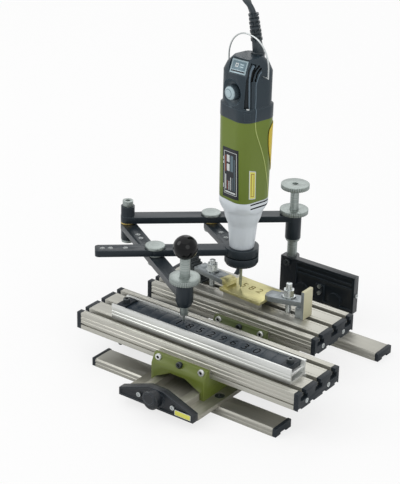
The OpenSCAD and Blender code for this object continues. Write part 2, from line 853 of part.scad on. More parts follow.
module clamp_bars() color([0.35, 0.37, 0.4]) {
    translate([left_stud_at[0], left_stud_at[1], plate_top_z]) rotate(left_turn)
        clamp_bar(left_bar_from, left_bar_to, 7);
    translate([right_stud_at[0], right_stud_at[1], plate_top_z]) rotate(right_turn)
        mirror([1, 0, 0]) clamp_bar(-right_bar_to, -right_bar_from, 4);
}

washer_t = 1.5;
nut_h = 7;

module clamp_studs() color("silver") {
    for (c = [[left_stud_at, left_stud_h], [right_stud_at, right_stud_h]]) {
        translate([c[0][0], c[0][1], slot_z + slot_h - 4.2]) {
            translate([0, 0, 2]) cube([11, slot_w - 0.6, 4], center = true);
            cylinder(d = clamp_stud_d, h = table_z + c[1] - slot_z - slot_h + 4.2);
        }
    }
}

module clamp_nuts() color("silver") {
    for (p = [left_stud_at, right_stud_at]) {
        translate([p[0], p[1], plate_top_z + clamp_t]) {
            ring(13, clamp_stud_d + 0.3, washer_t);
            translate([0, 0, washer_t]) difference() {
                cylinder(d = 11.5, h = nut_h, $fn = 6);
                translate([0, 0, -1]) cylinder(d = clamp_stud_d + 0.1, h = nut_h + 2);
            }
        }
    }
}

// Stepped block under the heel of the left bar, which rests on its fourth step
heel_steps = 4;
step = (plate_top_z - table_z) / heel_steps;
step_count = 11;
step_block_w = 14;

module step_block() color([0.3, 0.31, 0.32]) {
    translate([left_stud_at[0], left_stud_at[1], table_z]) rotate(left_turn)
        translate([left_bar_from - 0.3 + heel_steps * step, 0, 0]) along_y(step_block_w)
            polygon(concat([for (i = [0 : step_count - 1], k = [0, 1]) [-(i + k) * step, (i + 1) * step]],
                [[-step_count * step, 0], [0, 0]]));
}

// Block under the heel of the right bar with an upright plate behind it
heel_block_x = right_stud_at[0] + right_bar_to - 3.5;
heel_block_len = 7;
heel_plate_t = 3.5;
heel_plate_w = 16;
heel_plate_h = 30.5;

module heel_block() color("wheat") {
    translate([heel_block_x, rear_saddle_y, table_z]) {
        translate([0, -heel_plate_w / 2 + 1, 0])
            cube([heel_block_len + 0.1, heel_plate_w - 2, plate_top_z - table_z]);
        translate([heel_block_len, -heel_plate_w / 2, 0])
            cube([heel_plate_t, heel_plate_w, heel_plate_h]);
    }
}

// Pantograph arms
module bar_shape(len, w) {
    translate([0, -w / 2]) square([len, w]);
    circle(d = w);
    translate([len, 0]) circle(d = w);
}

// A through bore of the arms, and a place along a bar
bore_z = table_z;
bore_h = 2 * (upper_arm_z - table_z);

module arm_bore(at, d) {
    translate([at[0], at[1], bore_z]) cylinder(d = d, h = bore_h);
}

function on_bar(from, angle, dist) = from + dist * [cos(angle), sin(angle)];

elbow_boss_d = 14.3;
elbow_boss_h = 10.8;
elbow_head_h = 6;
pivot_cap_h = 3;
pivot_nut_h = 2.5;
column_boss_d = 16.5;
pin_fit = 0.02;

module main_arm() color([0.14, 0.15, 0.17]) {
    difference() {
        union() {
            translate([column_x, column_y, upper_arm_z]) rotate(main_arm_angle)
                linear_extrude(arm_t) bar_shape(main_arm_len, arm_w);
            translate([column_x, column_y, bush_seat + 0.1])
                cylinder(d = column_boss_d, h = arm_top_z - bush_seat - 0.1);
            translate([elbow_at[0], elbow_at[1], arm_top_z - 0.1])
                cylinder(d = elbow_boss_d, h = elbow_boss_h + 0.1);
        }
        arm_bore(column_at, bush_d + 2 * run_gap);
        for (p = [elbow_at, middle_at]) arm_bore(p, pivot_d + 2 * pin_fit);
    }
}

sleeve_top_z = upper_arm_z + 8;
sleeve_low_z = lower_arm_z - 4.3;
elbow_low_z = lower_arm_z - 11.3;

module stylus_arm() color([0.14, 0.15, 0.17]) {
    difference() {
        union() {
            translate([elbow_at[0], elbow_at[1], lower_arm_z]) rotate(stylus_arm_angle)
                linear_extrude(arm_t) bar_shape(stylus_arm_len, arm_w);
            translate([stylus_at[0], stylus_at[1], sleeve_low_z])
                cylinder(d = stylus_sleeve_d, h = sleeve_top_z - sleeve_low_z);
            translate([stylus_at[0], stylus_at[1], sleeve_low_z - 5])
                cylinder(d1 = stylus_sleeve_d - 4, d2 = stylus_sleeve_d, h = 5.01);
            translate([elbow_at[0], elbow_at[1], elbow_low_z])
                cylinder(d = elbow_boss_d, h = lower_arm_z - elbow_low_z + 0.1);
        }
        for (p = [elbow_at, inner_at]) arm_bore(p, pivot_d + 2 * run_gap);
        arm_bore(stylus_at, stylus_rod_d + 2 * run_gap);
        for (dist = [31.6, 40.4]) arm_bore(on_bar(elbow_at, stylus_arm_angle, dist), setting_hole_d);
    }
}

holder_top_z = arm_top_z + 1.4;
bar_end_r = 4;

module tool_bar() color([0.14, 0.15, 0.17]) {
    difference() {
        union() {
            translate([inner_at[0], inner_at[1], upper_arm_z]) rotate(main_arm_angle)
                linear_extrude(arm_t) {
                    translate([-tool_bar_len, 0]) bar_shape(tool_bar_len, arm_w);
                    translate([tool_bar_tail / 2, 0]) rounded_square(tool_bar_tail, arm_w, bar_end_r);
                }
            translate([tool_at[0], tool_at[1], upper_arm_z])
                cylinder(d = holder_d, h = holder_top_z - upper_arm_z, $fn = 96);
        }
        arm_bore(inner_at, pivot_d + 2 * pin_fit);
        arm_bore(tool_at, collar_d + 2 * pin_fit);
        for (dist = [29.6, 44.6, 52.6]) arm_bore(on_bar(inner_at, main_arm_angle, dist), setting_hole_d);
    }
}

module short_link() color([0.14, 0.15, 0.17]) {
    difference() {
        union() {
            translate([middle_at[0], middle_at[1], lower_arm_z]) rotate(stylus_arm_angle)
                linear_extrude(arm_t) bar_shape(short_link_len, arm_w);
            translate([tool_at[0], tool_at[1], lower_arm_z])
                cylinder(d = holder_d, h = arm_t, $fn = 96);
        }
        arm_bore(middle_at, pivot_d + 2 * run_gap);
        arm_bore(tool_at, collar_d + 2 * side_gap);
        for (dist = [28, 41]) arm_bore(on_bar(middle_at, stylus_arm_angle, dist), setting_hole_d);
    }
}

// Pivot pins with their caps above and their retaining rings below
module pivot(low_z, cap_z) {
    translate([0, 0, low_z - pivot_nut_h - 0.2]) cylinder(d = pivot_d, h = cap_z - low_z + pivot_nut_h + 0.3);
    translate([0, 0, cap_z]) cylinder(d = pivot_cap_d, h = pivot_cap_h - 0.6);
    translate([0, 0, cap_z + pivot_cap_h - 0.6])
        cylinder(d1 = pivot_cap_d, d2 = pivot_cap_d - 1.2, h = 0.6);
    translate([0, 0, low_z - pivot_nut_h - 0.2]) cylinder(d = pivot_d + 6, h = pivot_nut_h);
}

module elbow_pivot() color("silver") {
    translate([elbow_at[0], elbow_at[1], 0]) difference() {
        union() {
            translate([0, 0, elbow_low_z - pivot_nut_h - 0.2])
                cylinder(d = pivot_d, h = arm_top_z + elbow_boss_h - elbow_low_z + pivot_nut_h + 0.3);
            translate([0, 0, elbow_low_z - pivot_nut_h - 0.2])
                cylinder(d = elbow_boss_d - 1, h = pivot_nut_h);
            translate([0, 0, arm_top_z + elbow_boss_h]) cylinder(d = 11, h = elbow_head_h);
        }
        translate([0, 0, arm_top_z + elbow_boss_h + elbow_head_h]) hex_socket(5, 4);
    }
}

module middle_pivot() color("silver") {
    translate([middle_at[0], middle_at[1], 0]) pivot(lower_arm_z, arm_top_z);
}

module inner_pivot() color("silver") {
    translate([inner_at[0], inner_at[1], 0]) {
        pivot(lower_arm_z, arm_top_z);
        translate([0, 0, lower_top_z + 0.05]) ring(arm_w, pivot_d + 0.2, arm_space - 0.1);
    }
}

module arm_washers() color("goldenrod") {
    for (p = [elbow_at, middle_at]) {
        translate([p[0], p[1], lower_top_z + 0.05]) ring(arm_w, pivot_d + 0.2, arm_space - 0.1);
    }
}

// Stylus in the end of the stylus arm
rod_top_z = ball_z - ball_d / 2 + 1.5;
rod_low_z = sleeve_low_z - 6;
pin_holder_z = table_z + 21.5;
stylus_tip_z = table_z + stylus_tip_h;

module stylus_rod() color("silver") {
    translate([stylus_at[0], stylus_at[1], 0]) difference() {
        union() {
            translate([0, 0, rod_low_z]) cylinder(d = stylus_rod_d, h = rod_top_z - rod_low_z);
            translate([0, 0, pin_holder_z + 1.5])
                cylinder(d = stylus_rod_d - 1.8, h = rod_low_z - pin_holder_z - 1.4);
            translate([0, 0, pin_holder_z])
                cylinder(d1 = stylus_pin_d + 3, d2 = stylus_rod_d - 1.8, h = 1.51);
        }
        translate([0, 0, pin_holder_z - 1]) cylinder(d = stylus_pin_d + 2 * pin_fit, h = 9);
    }
}

module stylus_nut() color("silver") {
    translate([stylus_at[0], stylus_at[1], sleeve_top_z + 0.1]) difference() {
        knurled(30, 5.4, 40);
        translate([0, 0, -1]) cylinder(d = stylus_rod_d + 2 * run_gap, h = 8);
    }
}

module ball_knob() color([0.08, 0.08, 0.09]) {
    translate([stylus_at[0], stylus_at[1], ball_z]) difference() {
        sphere(d = ball_d, $fn = 64);
        translate([0, 0, -ball_d / 2 - 1]) cylinder(d = ball_d, h = 2.2);
        translate([0, 0, -ball_d]) cylinder(d = stylus_rod_d + 2 * pin_fit, h = ball_d / 2 + 1.55);
    }
}

module stylus_pin() color("silver") {
    translate([stylus_at[0], stylus_at[1], stylus_tip_z]) {
        cylinder(d1 = 0.5, d2 = stylus_pin_d, h = 2);
        translate([0, 0, 1.99]) cylinder(d = stylus_pin_d, h = pin_holder_z + 7 - stylus_tip_z - 2);
    }
}

// Engraving tool. It stands in the holder ring of the tool bar.
head_z = holder_top_z + 1;
collar_low_z = lower_arm_z - 3.3;
body_z = head_z + head_len;
cap_z = body_z + body_len;
tool_top_z = cap_z + cap_len;
cutter_tip_z = table_z + cutter_tip_h;
spindle_bore_d = 12.6;
nose_d = 25;

module in_tool_frame() {
    translate([tool_at[0], tool_at[1], 0]) rotate(tool_turn) children();
}

spindle_d = 6;
spindle_rise = 24;
nut_recess_h = 15;
collet_nut_d = 10.4;
collet_nut_h = 7.5;

module tool_head() color([0.72, 0.73, 0.75]) {
    in_tool_frame() difference() {
        union() {
            intersection() {
                translate([0, 0, head_z - 1]) rotate_extrude($fn = 96) polygon([[0, 0],
                    [nose_d / 2, 0], [nose_d / 2 + 1.8, 0.37 * head_len], [nose_d / 2 + 2.5, 0.47 * head_len],
                    [nose_d / 2 + 5.5, 0.61 * head_len], [nose_d / 2 + 7.5, 0.76 * head_len],
                    [tool_w / 2 + 1, 0.82 * head_len], [tool_w / 2 + 6, head_len + 1], [0, head_len + 1]]);
                translate([0, 0, head_z - 2]) linear_extrude(head_len + 2)
                    rounded_square(tool_w, tool_w, tool_r);
            }
            translate([0, 0, collar_low_z]) cylinder(d = collar_d, h = head_z - collar_low_z);
        }
        translate([0, 0, collar_low_z - 1]) cylinder(d = spindle_bore_d, h = nut_recess_h + 1);
        translate([0, 0, collar_low_z + nut_recess_h - 1])
            cylinder(d = spindle_d + 2 * run_gap, h = spindle_rise + 2);
    }
}

module holder_nut() color([0.13, 0.13, 0.15]) {
    translate([tool_at[0], tool_at[1], collar_low_z + 0.3]) difference() {
        union() {
            cylinder(d1 = 29, d2 = 32, h = 0.8);
            translate([0, 0, 0.79]) knurled(32, 1.6, 24);
        }
        translate([0, 0, -1]) cylinder(d = collar_d + 2 * pin_fit, h = 12);
    }
}

module tool_body() color([0.48, 0.53, 0.2]) {
    in_tool_frame() hull() {
        translate([0, 0, body_z]) linear_extrude(1) rounded_square(tool_w, tool_w, tool_r);
        translate([0, 0, cap_z - 1]) linear_extrude(1)
            rounded_square(tool_w + 1.6, tool_w + 1.6, tool_r);
    }
}

// The top cap has a wider band below, the dial recess, the bail holes, a flat channel down its front
// corner and the seat of the cord protector
cap_w = tool_w - 1;
cap_band_w = tool_w + 2;
cap_band_h = 0.225 * cap_len;
cap_face = cap_w / 2;
cap_corner = cap_w / 2 - tool_r;
corner_channel_w = 9;
bail_z = cap_z + 0.74 * cap_len;
bail_hole_depth = 3;
dial_x = 0;
dial_z = cap_z + 0.44 * cap_len;
dial_d = 15;
dial_depth = 5;
protector_at = [1.1, 10.8];
protector_seat_d = 13;
protector_seat_z = tool_top_z - 12;

module tool_cap() color([0.16, 0.17, 0.2]) {
    in_tool_frame() difference() {
        union() {
            hull() {
                translate([0, 0, cap_z]) linear_extrude(cap_band_h - 1)
                    rounded_square(cap_band_w, cap_band_w, tool_r);
                translate([0, 0, cap_z]) linear_extrude(cap_band_h)
                    rounded_square(cap_w - 0.6, cap_w - 0.6, tool_r - 0.3);
            }
            hull() {
                translate([0, 0, cap_z + 1]) linear_extrude(0.77 * cap_len - 1)
                    rounded_square(cap_w, cap_w, tool_r);
                translate([0, 0, tool_top_z - 7]) linear_extrude(0.5)
                    rounded_square(cap_w - 6, cap_w - 6, tool_r - 2);
                translate([0, 0, tool_top_z - 1]) linear_extrude(1)
                    rounded_square(cap_w - 17, cap_w - 17, tool_r - 6);
            }
        }
        translate([cap_corner, -cap_corner, cap_z + cap_band_h]) rotate(-26)
            translate([tool_r - 1, -corner_channel_w / 2, 0]) cube([6, corner_channel_w, cap_len]);
        translate([dial_x, -cap_face - 1, dial_z]) rotate([-90, 0, 0])
            cylinder(d = dial_d + 1.2, h = dial_depth + 1);
        translate([protector_at[0], protector_at[1], protector_seat_z])
            cylinder(d = protector_seat_d + 0.2, h = 20);
        for (s = [-1, 1]) {
            translate([s * (cap_face + 1), 0, bail_z]) rotate([0, -s * 90, 0])
                cylinder(d = bail_d + 0.6, h = bail_hole_depth + 1);
        }
    }
}

module speed_dial() color([0.2, 0.2, 0.22]) {
    in_tool_frame() translate([dial_x, -cap_face + dial_depth - 0.3, dial_z]) rotate([90, 0, 0])
        knurled(dial_d, dial_depth + 0.9, 24);
}

// Wire bail, a flat arch with turned-in ends that swings in the sides of the cap
bail_half = cap_face + 8.5;
bail_corner = bail_half - 2;
bail_rise = 36;
bail_top = bail_z + bail_rise;

module wire_bail() color("silver") {
    in_tool_frame() {
        for (s = [-1, 1]) {
            translate([s * (cap_face - bail_hole_depth + 0.5), 0, bail_z]) rotate([0, s * 90, 0])
                cylinder(d = bail_d, h = bail_half - cap_face + bail_hole_depth - 0.5);
            translate([s * bail_half, 0, bail_z]) sphere(d = bail_d, $fn = 24);
            translate([s * bail_half, 0, bail_z])
                cylinder(d = bail_d, h = bail_top - bail_corner - bail_z);
            translate([s * (bail_half - bail_corner), 0, bail_top - bail_corner])
                rotate([90, 0, 0]) rotate(s > 0 ? 0 : 90) rotate_extrude(angle = 90)
                    translate([bail_corner, 0]) circle(d = bail_d, $fn = 24);
        }
        translate([0, 0, bail_top]) rotate([0, 90, 0])
            cylinder(d = bail_d, h = 2 * (bail_half - bail_corner), center = true);
    }
}

// Spindle with its collet nut and the cutter
module spindle() color("silver") {
    translate([tool_at[0], tool_at[1], 0]) {
        translate([0, 0, cutter_tip_z]) cylinder(d1 = 0.2, d2 = cutter_d, h = 4);
        translate([0, 0, cutter_tip_z + 3.99])
            cylinder(d = cutter_d, h = collar_low_z - cutter_tip_z - 3);
        translate([0, 0, collar_low_z + 0.5]) cylinder(d = collet_nut_d, h = collet_nut_h, $fn = 6);
        translate([0, 0, collar_low_z + collet_nut_h + 0.4]) cylinder(d = spindle_d, h = spindle_rise);
    }
}

// Cord protector, a seat in the cap and a ribbed taper that leans to the left
protector_x = tool_at[0] + protector_at[0] * cos(tool_turn) - protector_at[1] * sin(tool_turn);
protector_y = tool_at[1] + protector_at[0] * sin(tool_turn) + protector_at[1] * cos(tool_turn);
protector_foot = [protector_x, protector_y, protector_seat_z + 0.2];
protector_base = [protector_x, protector_y, tool_top_z + 2];
protector_lean = [-4.85, -3.46, 38];
protector_len = norm(protector_lean);
cord_exit = protector_base + protector_lean;
rib_from = 11;
rib_pitch = 2.9;
rib_t = 1.9;

module cord_protector() color([0.1, 0.1, 0.11]) {
    translate(protector_foot) cylinder(d = protector_seat_d, h = protector_base[2] - protector_foot[2]);
    translate(protector_base)
        rotate([0, acos(protector_lean[2] / protector_len), atan2(protector_lean[1], protector_lean[0])]) {
            cylinder(d1 = 10.6, d2 = 7.4, h = protector_len);
            translate([0, 0, -1]) cylinder(d = 10.6, h = 1.1);
            for (i = [0 : 8]) {
                translate([0, 0, rib_from + rib_pitch * i]) cylinder(d = 11 - 0.3 * i, h = rib_t);
            }
        }
}

// Tube swept along points: the ring of each point is turned as little as possible
function unit(v) = v / norm(v);
function along(p, i) = unit(p[min(i + 1, len(p) - 1)] - p[max(i - 1, 0)]);
function across(p, i = 0, last = [1, 0, 0]) = i == len(p) ? [] :
    let (t = along(p, i), s = unit(last - (last * t) * t)) concat([s], across(p, i + 1, s));

module tube(path, d, sides) {
    side = across(path);
    count = len(path);
    points = [for (i = [0 : count - 1]) let (up = cross(along(path, i), side[i]))
        for (k = [0 : sides - 1]) path[i] + d / 2 * (cos(360 / sides * k) * side[i]
            + sin(360 / sides * k) * up)];
    start = [for (k = [1 : sides - 2]) [0, k, k + 1]];
    end = [for (k = [1 : sides - 2]) (count - 1) * sides * [1, 1, 1] + [0, k + 1, k]];
    wall = [for (i = [0 : count - 2], k = [0 : sides - 1], half = [0, 1])
        let (a = i * sides + k, b = i * sides + (k + 1) % sides)
            half == 0 ? [a, a + sides, b + sides] : [a, b + sides, b]];
    polyhedron(points, concat(start, wall, end));
}

// Coil: it spirals in on the bench, climbs in the half turn where it reverses, and spirals out
coil_at = [-108, 30];
coil_step = cord_d + 0.6;
coil_low = cord_d / 2 + 0.1;
coil_rise = cord_d + 0.7;
coil_total = 2 * coil_turns + 0.1;
coil_from = 180;
coil_lead = 14;

function coil_radius(t) = coil_r + coil_step * (abs(t - coil_total / 2) - coil_total / 4);
function coil_height(t) = coil_low + coil_rise
    * (0.5 - 0.5 * cos(180 * min(max((t - coil_total / 2) * 2 + 0.5, 0), 1)));
function coil_point(t) = [coil_at[0] + coil_radius(t) * cos(coil_from + 360 * t),
    coil_at[1] + coil_radius(t) * sin(coil_from + 360 * t), coil_height(t)];
function heading(t) = [-sin(coil_from + 360 * t), cos(coil_from + 360 * t), 0];

coil_rings = floor(24 * coil_total);
coil_start = coil_point(0) - cord_d * heading(0);
coil_end = coil_point(coil_total) + coil_lead * heading(coil_total);
coil_path = concat([coil_start], [for (i = [0 : coil_rings]) coil_point(coil_total * i / coil_rings)],
    [coil_end]);
coil_gap = min([for (i = [0 : len(coil_path) - 14], j = [i + 12 : len(coil_path) - 1])
    norm(coil_path[i] - coil_path[j])]) - cord_d;

module cord_coil() color([0.1, 0.1, 0.11]) {
    echo(coil_least_gap = coil_gap);
    tube(coil_path, cord_d, 6);
}

// Route of the cord: up and over, down behind the machine, and along the bench to the coil
cord_points = [cord_exit, cord_exit + [-1.6, -0.7, 4], cord_exit + [-5.2, -0.8, 8],
    cord_exit + [-10.2, 0.2, 11], [-45, 47, 364.5],
    [-54, 56, 368], [-64, 70, 369], [-74, 87, 365], [-82, 103, 356], [-88, 117, 343],
    [-91.5, 127, 331], [-93, 134.5, 320], [-93.5, 141, 309], [-93, 146, 296], [-92, 148.5, 278],
    [-91.5, 149, 255], [-92, 148.5, 216], [-93, 148, 160], [-96.5, 145.5, 101], [-98, 144.5, 54],
    [-99, 143.5, 28], [-102, 141, 14], [-108, 136.5, 6], [-116, 130, 3.2], [-125, 121, 2.85],
    [-132, 110, 2.85], [-137, 97, 2.85], [-141, 82, 2.85], [-145, 65, 2.85], [-148, 48, 2.85],
    [coil_start[0], coil_start[1] + 8, coil_low], coil_start];

module cord() color([0.1, 0.1, 0.11]) tube(cord_points, cord_d, 8);

// Moulded two-pin plug
plug_relief = 10;
plug_neck = 12;
plug_len = 28;
plug_w = 34;
plug_t = 17.6;
plug_pin_d = 4.8;
plug_pin_len = 19;
plug_pin_pitch = 19;

module mains_plug() color([0.1, 0.1, 0.11]) {
    translate(coil_end) rotate([0, 90, coil_from + 360 * coil_total + 90]) {
        cylinder(d1 = cord_d + 1.5, d2 = 11, h = plug_relief + 0.1);
        hull() {
            translate([0, 0, plug_relief]) cylinder(d = 13, h = 0.1, $fn = 32);
            translate([0, 0, plug_relief + plug_neck]) linear_extrude(plug_len - plug_neck)
                rounded_square(plug_t, plug_w, 8);
        }
        for (s = [-1, 1]) {
            translate([0, s * plug_pin_pitch / 2, plug_relief + plug_len - 0.1])
                cylinder(d = plug_pin_d, h = plug_pin_len);
        }
    }
}

base_rail();
front_foot();
rear_foot();
foot_caps();
foot_screws();
front_end_plate();
end_plate_screws();
back_plate();
back_plate_screws();
column_clamp_screw();
column_rod();
column_top_disc();
column_bush();
column_nut();
front_saddle();
rear_saddle();
front_gib();
rear_gib();
front_saddle_screws();
rear_saddle_screws();
front_table();
rear_table();
front_table_caps();
rear_table_caps();
front_cap_screws();
rear_cap_screws();
template_rail();
template_tiles();
template_stops();
engraved_plate();
plate_packing();
clamp_bars();
clamp_studs();
clamp_nuts();
step_block();
heel_block();
main_arm();
stylus_arm();
tool_bar();
short_link();
elbow_pivot();
middle_pivot();
inner_pivot();
arm_washers();
stylus_rod();
stylus_nut();
ball_knob();
stylus_pin();
tool_head();
holder_nut();
tool_body();
tool_cap();
speed_dial();
wire_bail();
cord_protector();
spindle();
cord();
cord_coil();
mains_plug();
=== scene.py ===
import json
from math import cos, pi, radians, sin

import bmesh
import bpy
from mathutils import Matrix, Vector


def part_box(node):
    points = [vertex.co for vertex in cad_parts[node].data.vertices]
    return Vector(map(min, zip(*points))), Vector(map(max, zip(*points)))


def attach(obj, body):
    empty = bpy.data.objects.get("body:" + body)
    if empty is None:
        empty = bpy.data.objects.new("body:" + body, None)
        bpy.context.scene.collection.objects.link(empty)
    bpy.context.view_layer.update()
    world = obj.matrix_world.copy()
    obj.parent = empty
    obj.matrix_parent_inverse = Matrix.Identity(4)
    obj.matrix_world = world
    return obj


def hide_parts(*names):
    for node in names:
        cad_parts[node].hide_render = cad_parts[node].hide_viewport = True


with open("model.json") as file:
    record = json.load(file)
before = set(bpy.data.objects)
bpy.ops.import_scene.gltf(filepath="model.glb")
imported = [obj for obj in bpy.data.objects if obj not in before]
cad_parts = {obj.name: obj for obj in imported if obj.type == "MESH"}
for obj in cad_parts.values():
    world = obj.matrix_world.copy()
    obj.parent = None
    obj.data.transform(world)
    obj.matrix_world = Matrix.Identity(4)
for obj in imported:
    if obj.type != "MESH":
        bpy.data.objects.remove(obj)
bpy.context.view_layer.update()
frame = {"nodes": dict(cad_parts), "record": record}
record = frame["record"]
MM = 0.001

# Camera of the photograph, worked out from the straight edges of the rail, tables and feet
CAMERA_PLACE = (0.83034, -1.22384, 0.82547)
CAMERA_AZIMUTH, CAMERA_ELEVATION, CAMERA_ROLL = 35.775, 25.13, 1.428
FOCAL_PIXELS, IMAGE_HEIGHT, SENSOR = 1678, 484, 24

camera = bpy.data.objects.new("camera", bpy.data.cameras.new("camera"))
bpy.context.scene.collection.objects.link(camera)
bpy.context.scene.camera = camera
camera.data.sensor_fit = "VERTICAL"
camera.data.sensor_height = SENSOR
camera.data.lens = FOCAL_PIXELS / IMAGE_HEIGHT * SENSOR
camera.data.clip_start, camera.data.clip_end = 0.05, 20
camera.matrix_world = (
    Matrix.Translation(CAMERA_PLACE)
    @ Matrix.Rotation(radians(CAMERA_AZIMUTH), 4, "Z")
    @ Matrix.Rotation(radians(90 - CAMERA_ELEVATION), 4, "X")
    @ Matrix.Rotation(radians(CAMERA_ROLL), 4, "Z"))
bpy.context.scene.view_settings.view_transform = "Standard"


# Nodes and materials
def add(tree, kind, sockets=None, **settings):
    """One node of a tree. sockets holds a number or another node's output for each input."""
    node = tree.nodes.new(kind)
    for name, value in settings.items():
        setattr(node, name, value)
    for key, value in (sockets or {}).items():
        if isinstance(value, bpy.types.NodeSocket):
            tree.links.new(value, node.inputs[key])
        else:
            node.inputs[key].default_value = value
    return node


def linear(colour):
    """An sRGB hex colour as linear red, green, blue and alpha."""
    parts = [int(colour[i:i + 2], 16) / 255 for i in (1, 3, 5)]
    return (*[c / 12.92 if c <= 0.04045 else ((c + 0.055) / 1.055) ** 2.4 for c in parts], 1)


def begin(name, rough, metal=0.0, **sockets):
    """A material with its Principled shader."""
    material = bpy.data.materials.new(name)
    material.use_nodes = True
    tree = material.node_tree
    shader = tree.nodes["Principled BSDF"]
    shader.inputs["Metallic"].default_value = metal
    shader.inputs["Roughness"].default_value = rough
    for key, value in sockets.items():
        shader.inputs[key.replace("_", " ")].default_value = value
    return material, tree, shader


def stretched(tree, stretch, turn=0.0, centre=(0, 0, 0)):
    """Object coordinates, turned about Z and scaled by 1 / stretch in millimetres."""
    place = add(tree, "ShaderNodeTexCoord").outputs["Object"]
    if any(centre):
        place = add(tree, "ShaderNodeVectorMath", {0: place, 1: [c * MM for c in centre]},
                    operation="SUBTRACT").outputs[0]
    return add(tree, "ShaderNodeMapping", {
        "Vector": place, "Rotation": (0, 0, -radians(turn)),
        "Scale": [1 / (s * MM) for s in stretch]}, vector_type="POINT").outputs[0]


def ramp(tree, source, stops):
    """A colour ramp through (place, hex colour or grey level) stops."""
    node = add(tree, "ShaderNodeValToRGB", {"Fac": source})
    points = node.color_ramp.elements
    while len(points) < len(stops):
        points.new(0.5)
    for point, (place, colour) in zip(points, stops):
        point.position = place
        point.color = linear(colour) if isinstance(colour, str) else (colour, colour, colour, 1)
    return node.outputs["Color"]


def edge_mask(tree, radius):
    """Near 1 on edges sharper than this radius in millimetres, and 0 on flats."""
    rounded = add(tree, "ShaderNodeBevel", {"Radius": radius * MM}, samples=4)
    plain = add(tree, "ShaderNodeNewGeometry")
    dot = add(tree, "ShaderNodeVectorMath", {0: rounded.outputs[0], 1: plain.outputs["Normal"]},
              operation="DOT_PRODUCT")
    return add(tree, "ShaderNodeMapRange", {
        "Value": dot.outputs["Value"], "From Min": 1.0, "From Max": 0.86,
        "To Min": 0.0, "To Max": 1.0}).outputs[0]


# Size in millimetres of the slow change of tone on metal, and of the clouds in a coating
METAL_CLOUD, COATING_CLOUD = 60, 26
# Width in millimetres of the paler line along an edge, worn and with a painted highlight, and the
# shine of a plain coating
WEAR_AND_HIGHLIGHT_BAND, SHEEN = 0.5, 0.3


def drawn_metal(name, dark, light, streak, rough, turn=0.0, metal=0.8, height=0.02):
    """Extruded or ground metal: streaks along one direction, and a slow change of tone."""
    material, tree, shader = begin(name, rough, metal)
    lines = add(tree, "ShaderNodeTexNoise", {
        "Vector": stretched(tree, streak, turn), "Scale": 1.0, "Detail": 3.0, "Roughness": 0.6})
    clouds = add(tree, "ShaderNodeTexNoise", {
        "Vector": stretched(tree, (METAL_CLOUD,) * 3), "Scale": 1.0, "Detail": 2.0})
    both = add(tree, "ShaderNodeMix", {
        0: 0.35, 2: lines.outputs["Fac"], 3: clouds.outputs["Fac"]}, data_type="FLOAT")
    tree.links.new(ramp(tree, both.outputs[0], [(0.3, dark), (0.7, light)]),
                   shader.inputs["Base Color"])
    gloss = add(tree, "ShaderNodeMapRange", {
        "Value": lines.outputs["Fac"], "From Min": 0.3, "From Max": 0.7,
        "To Min": rough - 0.06, "To Max": rough + 0.08})
    tree.links.new(gloss.outputs[0], shader.inputs["Roughness"])
    bump = add(tree, "ShaderNodeBump", {
        "Height": lines.outputs["Fac"], "Strength": 0.12, "Distance": height * MM})
    tree.links.new(bump.outputs[0], shader.inputs["Normal"])
    return material


def turned_metal(name, dark, light, centre, pitch, rough, metal=0.9):
    """Lathe-turned metal: fine rings round an upright axis, on end faces and on sides."""
    material, tree, shader = begin(name, rough, metal)
    place = stretched(tree, (1, 1, 1), centre=centre)
    parts = add(tree, "ShaderNodeSeparateXYZ", {0: place})
    flat = add(tree, "ShaderNodeCombineXYZ", {0: parts.outputs[0], 1: parts.outputs[1]})
    radius = add(tree, "ShaderNodeVectorMath", {0: flat.outputs[0]}, operation="LENGTH")
    rings = add(tree, "ShaderNodeCombineXYZ", {
        0: radius.outputs["Value"], 1: parts.outputs[2]})
    grooves = add(tree, "ShaderNodeTexNoise", {
        "Vector": rings.outputs[0], "Scale": 1 / pitch, "Detail": 2.0})
    tree.links.new(ramp(tree, grooves.outputs["Fac"], [(0.3, dark), (0.7, light)]),
                   shader.inputs["Base Color"])
    bump = add(tree, "ShaderNodeBump", {
        "Height": grooves.outputs["Fac"], "Strength": 0.3, "Distance": 0.02 * MM})
    tree.links.new(bump.outputs[0], shader.inputs["Normal"])
    return material


def coated(name, colour, grain, rough, bump=0.03, wear_and_highlight=None, metal=0.0, spread=0.12, **sockets):
    """Paint, anodising or moulded plastic: grain in relief, cloudy tone and paler edges, worn and
    with a painted highlight.
    """
    material, tree, shader = begin(name, rough, metal, **{"Specular_IOR_Level": SHEEN, **sockets})
    clouds = add(tree, "ShaderNodeTexNoise", {
        "Vector": stretched(tree, (COATING_CLOUD,) * 3), "Scale": 1.0, "Detail": 3.0})
    base = linear(colour)[:3]
    tone = add(tree, "ShaderNodeMix", {
        0: clouds.outputs["Fac"],
        6: (*[c * (1 - spread) for c in base], 1),
        7: (*[min(c * (1 + spread), 1) for c in base], 1)}, data_type="RGBA")
    result = tone.outputs[2]
    # Paler edges: wear, and a painted highlight along them
    if wear_and_highlight:
        result = add(tree, "ShaderNodeMix", {
            0: edge_mask(tree, WEAR_AND_HIGHLIGHT_BAND), 6: result, 7: linear(wear_and_highlight)}, data_type="RGBA").outputs[2]
    tree.links.new(result, shader.inputs["Base Color"])
    texture = add(tree, "ShaderNodeTexNoise", {
        "Vector": stretched(tree, (grain,) * 3), "Scale": 1.0, "Detail": 2.0})
    relief = add(tree, "ShaderNodeBump", {
        "Height": texture.outputs["Fac"], "Strength": 0.35, "Distance": bump * MM})
    tree.links.new(relief.outputs[0], shader.inputs["Normal"])
    gloss = add(tree, "ShaderNodeMapRange", {
        "Value": texture.outputs["Fac"], "From Min": 0.3, "From Max": 0.7,
        "To Min": rough - 0.05, "To Max": rough + 0.06})
    tree.links.new(gloss.outputs[0], shader.inputs["Roughness"])
    return material


